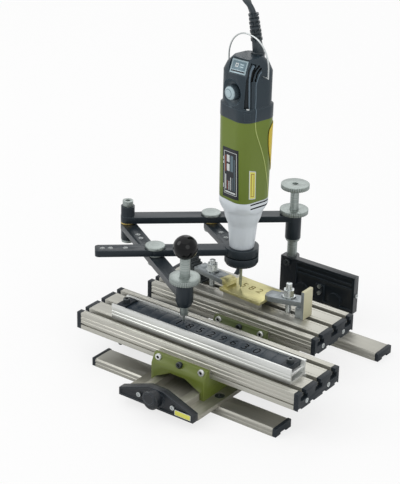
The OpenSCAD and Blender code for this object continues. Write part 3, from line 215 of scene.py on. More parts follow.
# Places of the pantograph's pivots and of the tool, in millimetres, and the tool's turn in degrees
COLUMN = (-29.7, 136.8)
ELBOW = (-161.813, 23.565)
STYLUS = (-21.768, -64.626)
MIDDLE = (-95.757, 80.183)
INNER = (-91.791, -20.530)
TOOL = (-25.734, 36.087)
TOOL_TURN = -14.6

# Degrees that the brass plate on the rear table is turned from the table's length
BRASS_TURN = -3.8
# Streaks run along X or along Y. Each gives the length, the width and the height of a streak
ALONG_X, ALONG_Y = (160, 0.5, 0.5), (0.5, 160, 0.5)
ROUND_Z, ACROSS_Y = (1.2, 1.2, 5), (1.2, 12, 1.2)

# Clear anodised aluminium, extruded: satin grey with die lines along its length. Real lines are
# finer than a tenth of a millimetre, and are drawn half a millimetre apart so that they show
extruded = drawn_metal("anodised_aluminium_table", "#a9a89f", "#bfbeb6", ALONG_X, 0.38,
                       height=0.008)
# The same extrusion laid the other way, darker by painted shade, so the rail reads below the tables
shaded_rail_metal = drawn_metal("anodised_aluminium_rail_painted_shade", "#9c9a8f", "#b3b1a7", ALONG_Y, 0.38,
                         height=0.008)
# The same with a duller skin, and darker by painted shade, so the feet are the darkest of the
# extrusions
shaded_foot_metal = drawn_metal("anodised_aluminium_foot_painted_shade", "#98978f", "#adaca4", ALONG_X, 0.40,
                         height=0.008)
# Bright anodised aluminium: the palest metal here, so the template rail stands out from its table
holder_metal = drawn_metal("bright_anodised_aluminium", "#c6c8c5", "#dfe1df", ALONG_X, 0.36,
                           height=0.006)
# Cold-drawn steel of studs, screws and the bail: a hard grey shine
bright_steel = drawn_metal("drawn_steel", "#a5abab", "#d6dada", ROUND_Z, 0.28, metal=0.95)
# Nickel-plated steel: whiter and softer than bare steel, on ring nuts; in the setting holes the
# same white is painted light, standing in for the white seen through them
nickel_steel_and_hole_light = drawn_metal("nickel_plated_steel_and_hole_light", "#d3d6d6", "#eceeee", ROUND_Z, 0.25, metal=0.6)
# Flat steel, ground across: dull grey, for the clamp bars
bare_steel = drawn_metal("ground_flat_steel", "#7d8488", "#a1a7a9", ACROSS_Y, 0.36, metal=0.7)
# Rolled brass, faintly streaked along its length: a soft pale yellow with a broad highlight
brass_plate = drawn_metal("rolled_brass", "#b9b27c", "#dad49f", (14, 0.7, 1), 0.33,
                          turn=BRASS_TURN)
# Turned brass of the washers: a warmer yellow line between the black bars
brass_turned = turned_metal("turned_brass", "#a88f4c", "#d2be7a", (*COLUMN, 0), 0.5, 0.3)
# Brass at the foot of an engraved line: matt and darker, which makes the figures legible
brass_cut = coated("engraved_brass", "#8d7f45", 0.8, 0.5, bump=0.01, metal=0.3)
# Steel blackened with oxide: near black, with grey edges, worn and with a painted highlight
oxide_steel = coated("black_oxide_steel", "#3c4143", 0.6, 0.38, metal=0.5, wear_and_highlight="#7b8183")
# Black anodised aluminium of the bars: satin blue-black, paler along the edges, worn and with a
# painted highlight
arm_black = coated("black_anodised_aluminium", "#222a30", 0.35, 0.36, wear_and_highlight="#5b656a", metal=0.2)
# Olive enamel on cast aluminium: a slight orange peel under a clear shine, and paler edges, worn
# and with a painted highlight
enamel = coated("olive_enamel", "#616d2c", 0.9, 0.32, bump=0.04, wear_and_highlight="#8a9450",
                Specular_IOR_Level=0.45)
# The same enamel on the rear saddle, darker and greyer as painted shade, a little duller, and with
# paler edges, worn and with a painted highlight
shaded_rear_enamel = coated("olive_enamel_painted_shade", "#4f5a34", 0.9, 0.36, bump=0.04, wear_and_highlight="#76805a")
# Moulded polyamide of the end caps: black with a fine spark-eroded grain and no shine, and paler
# edges, worn and with a painted highlight
cap_plastic = coated("moulded_black_polyamide", "#1a2127", 0.5, 0.5, wear_and_highlight="#3c464c")
# Zinc die casting, stove enamelled black: a hard gloss over a slightly uneven skin, and paler
# edges, worn and with a painted highlight
plate_black = coated("stove_enamelled_casting", "#12181e", 0.8, 0.34, bump=0.04, wear_and_highlight="#46525a",
                     Specular_IOR_Level=0.45)
# Paper laminate of the plate on the heel block: matt cream
laminate = coated("paper_laminate", "#c6c2a3", 0.8, 0.42, bump=0.01, spread=0.06)
# Engraving laminate of the tiles: slate black with paler edges, cut and with a painted highlight
tile_black = coated("slate_laminate", "#222c35", 0.4, 0.36, wear_and_highlight="#4f5c66")
# Die casting under clear lacquer: an even pale silver, for the tool's head
cast_silver = coated("lacquered_die_casting", "#cfd6db", 0.45, 0.32, metal=0.1, spread=0.04,
                     bump=0.02)
# Moulded polyamide of the tool: even colour, a fine grain and a low sheen; the slate one has paler
# edges, worn and with a painted highlight
shell_green = coated("moulded_green_polyamide", "#66772c", 0.4, 0.34, bump=0.015, spread=0.05)
cap_slate = coated("moulded_slate_polyamide", "#27333b", 0.4, 0.36, bump=0.015, spread=0.06,
                   wear_and_highlight="#4b5a64")
# The same plastics on thin beads, where the edge catches the light and looks paler
bead_grey = coated("moulded_slate_bead", "#5a6974", 0.4, 0.34, bump=0.01, spread=0.05)
bead_green = coated("moulded_green_bead", "#a3b06a", 0.4, 0.34, bump=0.01, spread=0.05)
# The same in the dish round the dial, paler as painted light falling on its walls
lit_dish_slate = coated("slate_dish_painted_light", "#46535b", 0.4, 0.34, bump=0.01, spread=0.05)
# The same at the foot of the channel, out of the light and matt
dark_slate = coated("matt_slate_channel", "#151d22", 0.6, 0.5, bump=0.01)
# Soft rubber of the grip: warm yellow, with less shine than the shell
yellow_grip = coated("moulded_yellow_rubber", "#c9b233", 0.5, 0.42, bump=0.03, spread=0.06)
# Printed foil of the labels: flat and smooth, with a thin metal sheen on the grey ones
label_grey = coated("pale_grey_foil", "#8c9da3", 1.5, 0.30, bump=0.004, metal=0.3, spread=0.05)
label_mid = coated("grey_foil", "#5b6f78", 1.5, 0.32, bump=0.004, metal=0.2, spread=0.05)
label_dark = coated("dark_foil", "#1d2026", 1.5, 0.35, bump=0.004, spread=0.1)
label_yellow = coated("yellow_foil", "#d2d05e", 1.5, 0.35, bump=0.004, spread=0.05)
# Screen ink on the foil: matt bars of colour
ink_white = coated("pale_screen_ink", "#c9cdcd", 1.2, 0.5, bump=0.004, spread=0.05)
rust_ink = coated("red_screen_ink", "#8e4a3c", 1.2, 0.5, bump=0.004, spread=0.05)
# Polished phenolic resin of the ball: glossy black with small sharp highlights
phenolic = coated("polished_phenolic", "#050608", 2.0, 0.05, bump=0.001, spread=0.1,
                  Specular_IOR_Level=0.22)
# Cord rubber: blue-black with a broad soft shine
rubber = coated("moulded_cord_rubber", "#232e34", 0.5, 0.42, bump=0.03, Specular_IOR_Level=0.5)
# Inside of slots and sockets: painted shade, almost black, as they lie out of the light
painted_shade_black = coated("painted_shade_in_gaps", "#0d0f11", 1.0, 0.7, bump=0.01)
# Acetal of the dial: a dark knurled rim with paler edges, worn and with a painted highlight, and a
# smoky face that is smooth enough to shine
dial_black = coated("moulded_acetal_rim", "#39464d", 0.6, 0.40, bump=0.01, wear_and_highlight="#6d7b82")
dial_smoke = coated("polished_acetal_face", "#a9bcc2", 1.0, 0.25, bump=0.01, spread=0.08)


def turned_steel(name, centre):
    """Turned steel with its rings round one pivot: a grey satin that changes with the view."""
    return turned_metal(name, "#7b8481", "#a5adaa", (*centre, 0), 0.6, 0.36, metal=0.72)


steel_column = turned_steel("turned_steel_column", COLUMN)
steel_stylus = turned_steel("turned_steel_stylus", STYLUS)
steel_middle = turned_steel("turned_steel_middle", MIDDLE)
steel_inner = turned_steel("turned_steel_inner", INNER)
steel_elbow = turned_steel("turned_steel_elbow", ELBOW)
steel_spindle = turned_steel("turned_steel_spindle", TOOL)


# Meshes. Points closer than MERGED in metres are one. SHARP is the least angle in degrees of a real
# edge, and faces within FLAT of each other become one before their edges are rounded
MERGED, SHARP, FLAT = 1e-6, 35, 0.6


def solid(name, points, faces, material):
    """An object from points in millimetres, with its normals turned out."""
    mesh = bpy.data.meshes.new(name)
    mesh.from_pydata([Vector(p) * MM for p in points], [], faces)
    mesh.materials.append(material)
    shape = bmesh.new()
    shape.from_mesh(mesh)
    bmesh.ops.remove_doubles(shape, verts=shape.verts, dist=MERGED)
    bmesh.ops.recalc_face_normals(shape, faces=shape.faces)
    shape.to_mesh(mesh)
    shape.free()
    thing = bpy.data.objects.new(name, mesh)
    bpy.context.scene.collection.objects.link(thing)
    return thing


def smoothed(thing):
    """Smooth shading that stays sharp at real edges."""
    thing.data.shade_smooth()
    thing.data.set_sharp_from_angle(angle=radians(SHARP))


def applied(thing, kind, **settings):
    """A modifier with these settings, applied at once."""
    modifier = thing.modifiers.new(kind.lower(), kind)
    for name, value in settings.items():
        setattr(modifier, name, value)
    bpy.context.view_layer.update()
    done = bpy.data.meshes.new_from_object(
        thing.evaluated_get(bpy.context.evaluated_depsgraph_get()))
    thing.modifiers.clear()
    thing.data = done
    return thing


def settle(piece, body, slot, *nodes):
    """The piece rides on a body and may stand for CAD nodes. Its slot is not used."""
    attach(piece, body)
    if nodes:
        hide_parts(*nodes)
    return piece


slot_of = {part["node"]: part["material_slot"] for part in record["subparts"]}
body_of = {node: body for body, nodes in record["behaviour"]["bodies"].items() for node in nodes}


def softened(node, material, edge, cuts=(), marks=()):
    """A merged copy of a CAD node: edges rounded by a real bevel, cuts made, some faces marked."""
    mesh = frame["nodes"][node].data.copy()
    mesh.materials.clear()
    mesh.materials.append(material)
    mesh.name = "edged_" + node
    shape = bmesh.new()
    shape.from_mesh(mesh)
    bmesh.ops.remove_doubles(shape, verts=shape.verts, dist=2 * MERGED)
    bmesh.ops.dissolve_limit(shape, angle_limit=radians(FLAT), verts=shape.verts,
                             edges=shape.edges)
    for face in shape.faces:
        face.smooth = True
        face.material_index = 0
    shape.to_mesh(mesh)
    shape.free()
    for attribute in [a.name for a in mesh.attributes if a.name == "custom_normal"]:
        mesh.attributes.remove(mesh.attributes[attribute])
    piece = bpy.data.objects.new("edged_" + node, mesh)
    bpy.context.scene.collection.objects.link(piece)
    if edge:
        applied(piece, "BEVEL", width=edge * MM, segments=2, limit_method="ANGLE",
                angle_limit=radians(SHARP), harden_normals=False)
    for cutter in cuts:
        applied(piece, "BOOLEAN", operation="DIFFERENCE", object=cutter, solver="EXACT",
                material_mode="TRANSFER")
        bpy.data.objects.remove(cutter)
    for other, chosen in marks:
        piece.data.materials.append(other)
        for face in piece.data.polygons:
            if chosen(face.center / MM, face.normal):
                face.material_index = len(piece.data.materials) - 1
    smoothed(piece)
    return settle(piece, body_of[node], slot_of[node], node)


# Cord, on the same route as in the part's source: over, down behind the machine and into a coil of
# two layers. Sizes are in millimetres and turns are counted for one layer
CORD_D = 5.5
COIL_AT, COIL_R, COIL_TURNS, COIL_FROM, COIL_LEAD = (-108, 30), 31, 3, 180, 14
COIL_STEP, COIL_LOW, COIL_RISE = CORD_D + 0.6, CORD_D / 2 + 0.1, CORD_D + 0.7
COIL_TOTAL = 2 * COIL_TURNS + 0.1


def coil_point(t):
    """The middle of the cord after t turns, inwards on the bench and outwards on top."""
    radius = COIL_R + COIL_STEP * (abs(t - COIL_TOTAL / 2) - COIL_TOTAL / 4)
    climb = min(max((t - COIL_TOTAL / 2) * 2 + 0.5, 0), 1)
    turn = radians(COIL_FROM) + 2 * pi * t
    return Vector((COIL_AT[0] + radius * cos(turn), COIL_AT[1] + radius * sin(turn),
                   COIL_LOW + COIL_RISE * (0.5 - 0.5 * cos(pi * climb))))


def coil_heading(t):
    """The way the cord runs after t turns."""
    turn = radians(COIL_FROM) + 2 * pi * t
    return Vector((-sin(turn), cos(turn), 0))


coil_start = coil_point(0) - CORD_D * coil_heading(0)
coil_end = coil_point(COIL_TOTAL) + COIL_LEAD * coil_heading(COIL_TOTAL)
route = [(-26.797, 42.801, 349), (-28.397, 42.101, 353), (-31.997, 42.001, 357),
         (-36.997, 43.001, 360), (-45, 47, 364.5), (-54, 56, 368), (-64, 70, 369),
         (-74, 87, 365), (-82, 103, 356), (-88, 117, 343), (-91.5, 127, 331),
         (-93, 134.5, 320), (-93.5, 141, 309), (-93, 146, 296), (-92, 148.5, 278),
         (-91.5, 149, 255), (-92, 148.5, 216), (-93, 148, 160), (-96.5, 145.5, 101),
         (-98, 144.5, 54), (-99, 143.5, 28), (-102, 141, 14), (-108, 136.5, 6),
         (-116, 130, 3.2), (-125, 121, 2.85), (-132, 110, 2.85), (-137, 97, 2.85),
         (-141, 82, 2.85), (-145, 65, 2.85), (-148, 48, 2.85),
         (coil_start.x, coil_start.y + 8, COIL_LOW), coil_start]
route = [Vector(p) for p in route]


def rounded_path(points, steps):
    """Points on a smooth curve through the given ones, with this many steps between two."""
    whole = [2 * points[0] - points[1], *points, 2 * points[-1] - points[-2]]
    path = []
    for a, b, c, d in zip(whole, whole[1:], whole[2:], whole[3:]):
        for k in range(steps):
            t = k / steps
            path.append(0.5 * (2 * b + (c - a) * t + (2 * a - 5 * b + 4 * c - d) * t * t
                               + (3 * b - a - 3 * c + d) * t ** 3))
    return path + [points[-1]]


COIL_POINTS = 219.6
coil_line = [coil_point(COIL_TOTAL * i / COIL_POINTS) for i in range(int(COIL_POINTS) + 1)]
cord_line = rounded_path(route, 4) + coil_line + [coil_end]
flex = bpy.data.curves.new("mains_flex", "CURVE")
flex.dimensions = "3D"
spline = flex.splines.new("POLY")
spline.points.add(len(cord_line) - 1)
for knot, place in zip(spline.points, cord_line):
    knot.co = (*(place * MM), 1)
flex.bevel_depth = CORD_D / 2 * MM
flex.bevel_resolution = 4
flex.use_fill_caps = True
flex.materials.append(rubber)
mains_flex = bpy.data.objects.new("mains_flex", flex)
bpy.context.scene.collection.objects.link(mains_flex)
settle(mains_flex, "tool_carrier", "cord_rubber", "cord", "cord_coil")

# The tool's shell: height, half width and corner radius of its sections
SHELL = [(140, 21, 13), (164, 21, 13), (249, 21.8, 13), (249.2, 22, 13), (261.4, 22, 13),
         (262.5, 20.5, 13), (295.2, 20.5, 13), (302, 17.5, 11), (308, 12, 7), (312, 12, 7)]
in_tool = Matrix.Translation((TOOL[0] * MM, TOOL[1] * MM, 0)) @ Matrix.Rotation(
    radians(TOOL_TURN), 4, "Z")


def on_shell(s, z, out):
    """The point this far round the shell from its right face, at this height and this far out."""
    lower = [row for row in SHELL[:-1] if row[0] <= z][-1]
    upper = SHELL[SHELL.index(lower) + 1]
    share = (z - lower[0]) / (upper[0] - lower[0])
    half, r = (a + (b - a) * share for a, b in zip(lower[1:], upper[1:]))
    flat = half - r
    quarters, rest = divmod(abs(s) + flat, 2 * flat + pi / 2 * r)
    turn = max(rest - 2 * flat, 0) / r
    x, y = flat + (r + out) * cos(turn), min(rest - flat, flat) + (r + out) * sin(turn)
    for _ in range(int(quarters)):
        x, y = -y, x
    return in_tool @ (Vector((x, y if s > 0 else -y, z)) * MM)


def closed(points, steps=5):
    """A smooth closed outline through these points."""
    line = rounded_path([Vector(q) for q in [points[-1], *points, points[0], points[1]]], steps)
    return [tuple(q) for q in line[steps:-steps - 1]]


def ribbon(points, half):
    """The outline of a strip along a smooth line."""
    line = rounded_path([Vector(q) for q in points], 5)
    sides = ([], [])
    for before, here, after in zip([line[0], *line], line, [*line[1:], line[-1]]):
        off = (after - before).normalized().orthogonal() * half
        sides[0].append(tuple(here + off))
        sides[1].append(tuple(here - off))
    return sides[0] + sides[1][::-1]


# Longest facets in millimetres, round the shell and up it
ROUND_STEP, UP_STEP = 1.4, 3.0


def wrapped(name, outline, low, high, material, edge=0.2):
    """A plate bent round the shell. Its outline is in (round, up) millimetres."""
    shape = bmesh.new()
    foot = [shape.verts.new((*q, low)) for q in outline]
    head = [shape.verts.new((*q, high)) for q in outline]
    shape.faces.new(foot[::-1])
    shape.faces.new(head)
    for k in range(len(outline)):
        shape.faces.new((foot[k - 1], foot[k], head[k], head[k - 1]))
    if edge:
        rim = [e for e in shape.edges if all(v in head for v in e.verts)]
        bmesh.ops.bevel(shape, geom=rim, offset=edge, segments=2, profile=0.6, affect="EDGES")
    bmesh.ops.triangulate(shape, faces=shape.faces)
    for axis, first, last, step in (
            (0, min(q[0] for q in outline), max(q[0] for q in outline), ROUND_STEP),
            (1, min(q[1] for q in outline), max(q[1] for q in outline), UP_STEP)):
        normal = (1 - axis, axis, 0)
        for k in range(1, int((last - first) / step) + 1):
            bmesh.ops.bisect_plane(
                shape, geom=[*shape.verts, *shape.edges, *shape.faces], dist=1e-4,
                plane_co=[n * (first + k * step) for n in normal], plane_no=normal)
    for vert in shape.verts:
        vert.co = on_shell(*vert.co)
    bmesh.ops.recalc_face_normals(shape, faces=shape.faces)
    if shape.calc_volume(signed=True) < 0:
        bmesh.ops.reverse_faces(shape, faces=shape.faces)
    return finished(name, shape, material)


def finished(name, shape, material):
    """An object from an edited mesh in metres."""
    mesh = bpy.data.meshes.new(name)
    shape.to_mesh(mesh)
    shape.free()
    mesh.materials.append(material)
    thing = bpy.data.objects.new(name, mesh)
    bpy.context.scene.collection.objects.link(thing)
    smoothed(thing)
    return thing


def turned(name, profile, material, place, steps=64):
    """A lathe shape from (radius, height) points that start and end on the axis."""
    points = [(0, 0, profile[0][1]), (0, 0, profile[-1][1])]
    inner = profile[1:-1]
    for k in range(steps):
        a = 2 * pi * k / steps
        points += [(r * cos(a), r * sin(a), h) for r, h in inner]
    count, faces = len(inner), []
    for k in range(steps):
        here, there = 2 + k * count, 2 + (k + 1) % steps * count
        faces += [(0, there, here), (1, here + count - 1, there + count - 1)]
        faces += [(here + i, there + i, there + i + 1, here + i + 1) for i in range(count - 1)]
    thing = solid(name, points, faces, material)
    thing.data.transform(place)
    smoothed(thing)
    return thing


def slab(name, centre, u, v, rect, low, high, material, edge=0.15):
    """A flat plate on the plane of u and v, over a part of them, from low to high off it."""
    normal = u.cross(v).normalized()
    ring = [centre + u * a + v * b for a, b in
            ((rect[0], rect[2]), (rect[1], rect[2]), (rect[1], rect[3]), (rect[0], rect[3]))]
    points = [q + normal * low for q in ring] + [q + normal * high for q in ring]
    thing = solid(name, points, [(3, 2, 1, 0), (4, 5, 6, 7), (0, 1, 5, 4), (1, 2, 6, 5),
                                 (2, 3, 7, 6), (3, 0, 4, 7)], material)
    if edge:
        applied(thing, "BEVEL", width=edge * MM, segments=2)
    smoothed(thing)
    return thing


def joined(name, things):
    """One object from several, with their materials kept."""
    mesh, shape, materials = bpy.data.meshes.new(name), bmesh.new(), []
    for thing in things:
        shape.from_mesh(thing.data)
        shape.faces.ensure_lookup_table()
        for material in thing.data.materials:
            if material not in materials:
                materials.append(material)
        own = [materials.index(m) for m in thing.data.materials]
        for face in shape.faces[-len(thing.data.polygons):]:
            face.material_index = own[face.material_index]
        bpy.data.objects.remove(thing)
    shape.to_mesh(mesh)
    shape.free()
    for material in materials:
        mesh.materials.append(material)
    whole = bpy.data.objects.new(name, mesh)
    bpy.context.scene.collection.objects.link(whole)
    smoothed(whole)
    return whole


def figures(name, text, height, low, high, material, middle, turn=0.0):
    """Plain figures as an upright prism, with the place of their middle in millimetres."""
    curve = bpy.data.curves.new(name, "FONT")
    curve.body, curve.align_x, curve.align_y = text, "CENTER", "CENTER"
    curve.size, curve.extrude, curve.resolution_u = height / 0.7 * MM, (high - low) / 2 * MM, 2
    letters = bpy.data.objects.new(name, curve)
    bpy.context.scene.collection.objects.link(letters)
    bpy.context.view_layer.update()
    mesh = bpy.data.meshes.new_from_object(
        letters.evaluated_get(bpy.context.evaluated_depsgraph_get()))
    bpy.data.objects.remove(letters)
    mesh.transform(Matrix.Translation(Vector((*middle, (low + high) / 2)) * MM)
                   @ Matrix.Rotation(radians(turn), 4, "Z"))
    shape = bmesh.new()
    shape.from_mesh(mesh)
    bmesh.ops.remove_doubles(shape, verts=shape.verts, dist=MERGED)
    for face in shape.faces:
        face.material_index = 0
    return finished(name, shape, material)


def grown(name, build, material, **sizes):
    """A mesh from a tree of geometry nodes, whose sizes are its named inputs."""
    tree = bpy.data.node_groups.new(name, "GeometryNodeTree")
    tree.interface.new_socket("Geometry", in_out="OUTPUT", socket_type="NodeSocketGeometry")
    kinds = {int: "NodeSocketInt", float: "NodeSocketFloat", bpy.types.Object: "NodeSocketObject"}
    keys = {size: tree.interface.new_socket(
        size, in_out="INPUT", socket_type=kinds[type(value)]).identifier
        for size, value in sizes.items()}
    shape = build(tree, add(tree, "NodeGroupInput").outputs)
    real = add(tree, "GeometryNodeRealizeInstances", {0: shape})
    done = add(tree, "GeometryNodeSetMaterial", {"Geometry": real.outputs[0],
                                                 "Material": material})
    add(tree, "NodeGroupOutput", {0: done.outputs[0]})
    thing = bpy.data.objects.new(name, bpy.data.meshes.new(name))
    bpy.context.scene.collection.objects.link(thing)
    modifier = thing.modifiers.new(name, "NODES")
    modifier.node_group = tree
    for size, value in sizes.items():
        modifier[keys[size]] = value
    bpy.context.view_layer.update()
    mesh = bpy.data.meshes.new_from_object(
        thing.evaluated_get(bpy.context.evaluated_depsgraph_get()))
    thing.modifiers.clear()
    thing.data = mesh
    smoothed(thing)
    return thing


def upright(tree, z):
    """A vector along Z from one number."""
    return add(tree, "ShaderNodeCombineXYZ", {"Z": z}).outputs[0]


def rib_row(tree, size):
    """Split rings in a row, each turned a quarter on from the last and a little smaller."""
    halves = add(tree, "GeometryNodeJoinGeometry")
    for start in (16, 196):
        arc = add(tree, "GeometryNodeCurveArc", {
            "Resolution": 16, "Radius": size["Radius"], "Start Angle": radians(start),
            "Sweep Angle": radians(148)})
        tree.links.new(arc.outputs[0], halves.inputs[0])
    section = add(tree, "GeometryNodeCurvePrimitiveQuadrilateral", {
        "Width": size["Depth"], "Height": size["Thickness"]})
    ring = add(tree, "GeometryNodeCurveToMesh", {
        "Curve": halves.outputs[0], "Profile Curve": section.outputs[0], "Fill Caps": True})
    row = add(tree, "GeometryNodeMeshLine", {
        "Count": size["Ribs"], "Start Location": upright(tree, size["First"]),
        "Offset": upright(tree, size["Pitch"])})
    step = add(tree, "GeometryNodeInputIndex").outputs[0]
    turn = add(tree, "ShaderNodeMath", {0: step, 1: pi / 2}, operation="MULTIPLY")
    shrink = add(tree, "ShaderNodeMath", {0: step, 1: size["Taper"], 2: 1.0},
                 operation="MULTIPLY_ADD")
    return add(tree, "GeometryNodeInstanceOnPoints", {
        "Points": row.outputs[0], "Instance": ring.outputs[0],
        "Rotation": upright(tree, turn.outputs[0]), "Scale": shrink.outputs[0]}).outputs[0]


def screw_pair(tree, size):
    """The same screw at both ends of a line along X."""
    whole = add(tree, "ShaderNodeCombineXYZ", {"X": size["Spread"]})
    line = add(tree, "GeometryNodeMeshLine", {"Count": 2, "Offset": whole.outputs[0]})
    screw = add(tree, "GeometryNodeObjectInfo", {"Object": size["Screw"]})
    return add(tree, "GeometryNodeInstanceOnPoints", {
        "Points": line.outputs[0], "Instance": screw.outputs["Geometry"]}).outputs[0]


# Shapes cut out of the cap: the dish round the dial, a channel down the front, a flat for the
# small label, and two vents beside it. The cut walls take the cutters' colours: painted light in
# the dish and painted shade in the channel and vents. Outlines go round the shell and up
DISH = [(0, -4.7), (8.3, -4.7), (9.4, -4.4), (11, -3.3), (12.4, -1.8), (13.5, 0), (16, 3), (0, 3)]
dish_place = in_tool @ Matrix.Translation((0.5 * MM, -20.5 * MM, 275.9 * MM)) @ Matrix.Rotation(
    pi / 2, 4, "X")
CHANNEL = [(-19.3, 262.6), (-18.6, 277), (-17.9, 292.2), (-14.3, 301.2), (-8.3, 306.5),
           (-3.5, 304.5), (-9, 299.2), (-12.2, 292.1), (-11.7, 277), (-11.2, 262.6)]
CHANNEL_DEPTH, VENT_DEPTH, SLOT_DEPTH, CLEAR = 2.2, 3.0, 1.2, 3.0
VENTS = [[(-11.6, 289.5), (-11.2, 293), (-9.5, 297.5), (-5.5, 300.8), (-0.4, 303.3)],
         [(-8.2, 289.5), (-8, 292), (-6.4, 296.1), (-2.9, 299), (0.9, 301)]]
# Middle of the small label on the slope of the cap, and its half width and half height as vectors
pad_centre = in_tool @ (Vector((3.5, -14.75, 301.3)) * MM) / MM
pad_u = in_tool.to_3x3() @ Vector((-9.6, -1.65, -0.4))
pad_v = in_tool.to_3x3() @ Vector((2.2, -3.95, -5.55))
cap_cuts = [turned("dish", DISH, lit_dish_slate, dish_place),
            wrapped("channel", CHANNEL, -CHANNEL_DEPTH, CLEAR, dark_slate, 0),
            slab("facet", pad_centre, pad_u, pad_v, (-1.12, 1.12, -1.14, 1.14), -0.4, 9, cap_slate,
                 0)]
cap_cuts += [wrapped("vent", ribbon(line, 0.95), -VENT_DEPTH, CLEAR, painted_shade_black, 0)
             for line in VENTS]

# Two slots in the head, their walls painted dark as shade
head_cuts = [wrapped("slot", ribbon([(a, z), (17, z)], 0.75), -SLOT_DEPTH, 2.0, painted_shade_black, 0)
             for a, z in ((-9.0, 162.1), (-8.8, 157.8))]

# A plain figure on each of the middle tiles, its walls painted dark as shade, and a number engraved
# in the brass
TILES, TILE_GAP, FIGURE_HEIGHT, FIGURE_DEPTH = 14, 0.2, 10.5, 1.1
NUMBER_HEIGHT, NUMBER_DEPTH, NUMBER_BACK = 9, 0.35, 3
tile_low, tile_high = (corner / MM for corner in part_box("template_tiles"))
tile_pitch = (tile_high.x - tile_low.x + TILE_GAP) / TILES
tile_cuts = [joined("figure_grooves", [
    figures("figure", str((k * 7 + 3) % 10), FIGURE_HEIGHT, tile_high.z - FIGURE_DEPTH,
            tile_high.z + 1, painted_shade_black,
            (tile_low.x + (k + 0.5) * tile_pitch, (tile_low.y + tile_high.y) / 2))
    for k in range(4, 12)])]
brass_low, brass_high = (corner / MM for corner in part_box("engraved_plate"))
brass_cuts = [figures("number", "5 8 2", NUMBER_HEIGHT, brass_high.z - NUMBER_DEPTH,
                      brass_high.z + 1, brass_cut,
                      ((brass_low.x + brass_high.x) / 2,
                       (brass_low.y + brass_high.y) / 2 + NUMBER_BACK), BRASS_TURN)]

# Where the steel of the heel block ends and its cream plate begins
HEEL_PLATE = 6.5
heel_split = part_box("heel_block")[1].x / MM - HEEL_PLATE

# Ring nuts of a saddle: distance of their middle from its ends, their reach, and the square of the
# radius of their sockets. The middle screw lies within MIDDLE_SCREW of the saddle's middle
NUT_IN, NUT_REACH, SOCKET, MIDDLE_SCREW = 3.3, 3.4, 3.1, 5


def saddle_marks(node):
    """The middle screw is blackened and the sockets of the ring nuts are in shadow."""
    low, high = (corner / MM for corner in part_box(node))
    z, out = (low.z + high.z) / 2, high.x - NUT_IN
    nut_face = [f.y for f in (v.co / MM for v in frame["nodes"][node].data.vertices)
                if abs(f.x) > out - NUT_REACH and abs(f.z - z) < NUT_REACH]
    depth = min(nut_face) + 0.1
    return ((oxide_steel, lambda c, n: abs(c.x) < MIDDLE_SCREW),
            (painted_shade_black, lambda c, n: c.y > depth
             and ((abs(c.x) - out) ** 2 + (c.z - z) ** 2) < SOCKET))


# Diameter of the setting holes in the bars
SETTING_HOLE = 5


def painted_light_bores(start, way, *distances):
    """Walls of the setting holes painted bright as light seen through them; the holes lie at these
    distances along a bar.
    """
    way = (Vector(way[1]) - Vector(way[0])).normalized()
    places = [Vector(start) + way * distance for distance in distances]
    return ((nickel_steel_and_hole_light, lambda c, n: abs(n.z) < 0.3 and any(
        (c.xy - place).length < SETTING_HOLE / 2 + 0.2 for place in places)),)


# Each CAD node with its material and the radius of its edges, then its cuts and marked faces


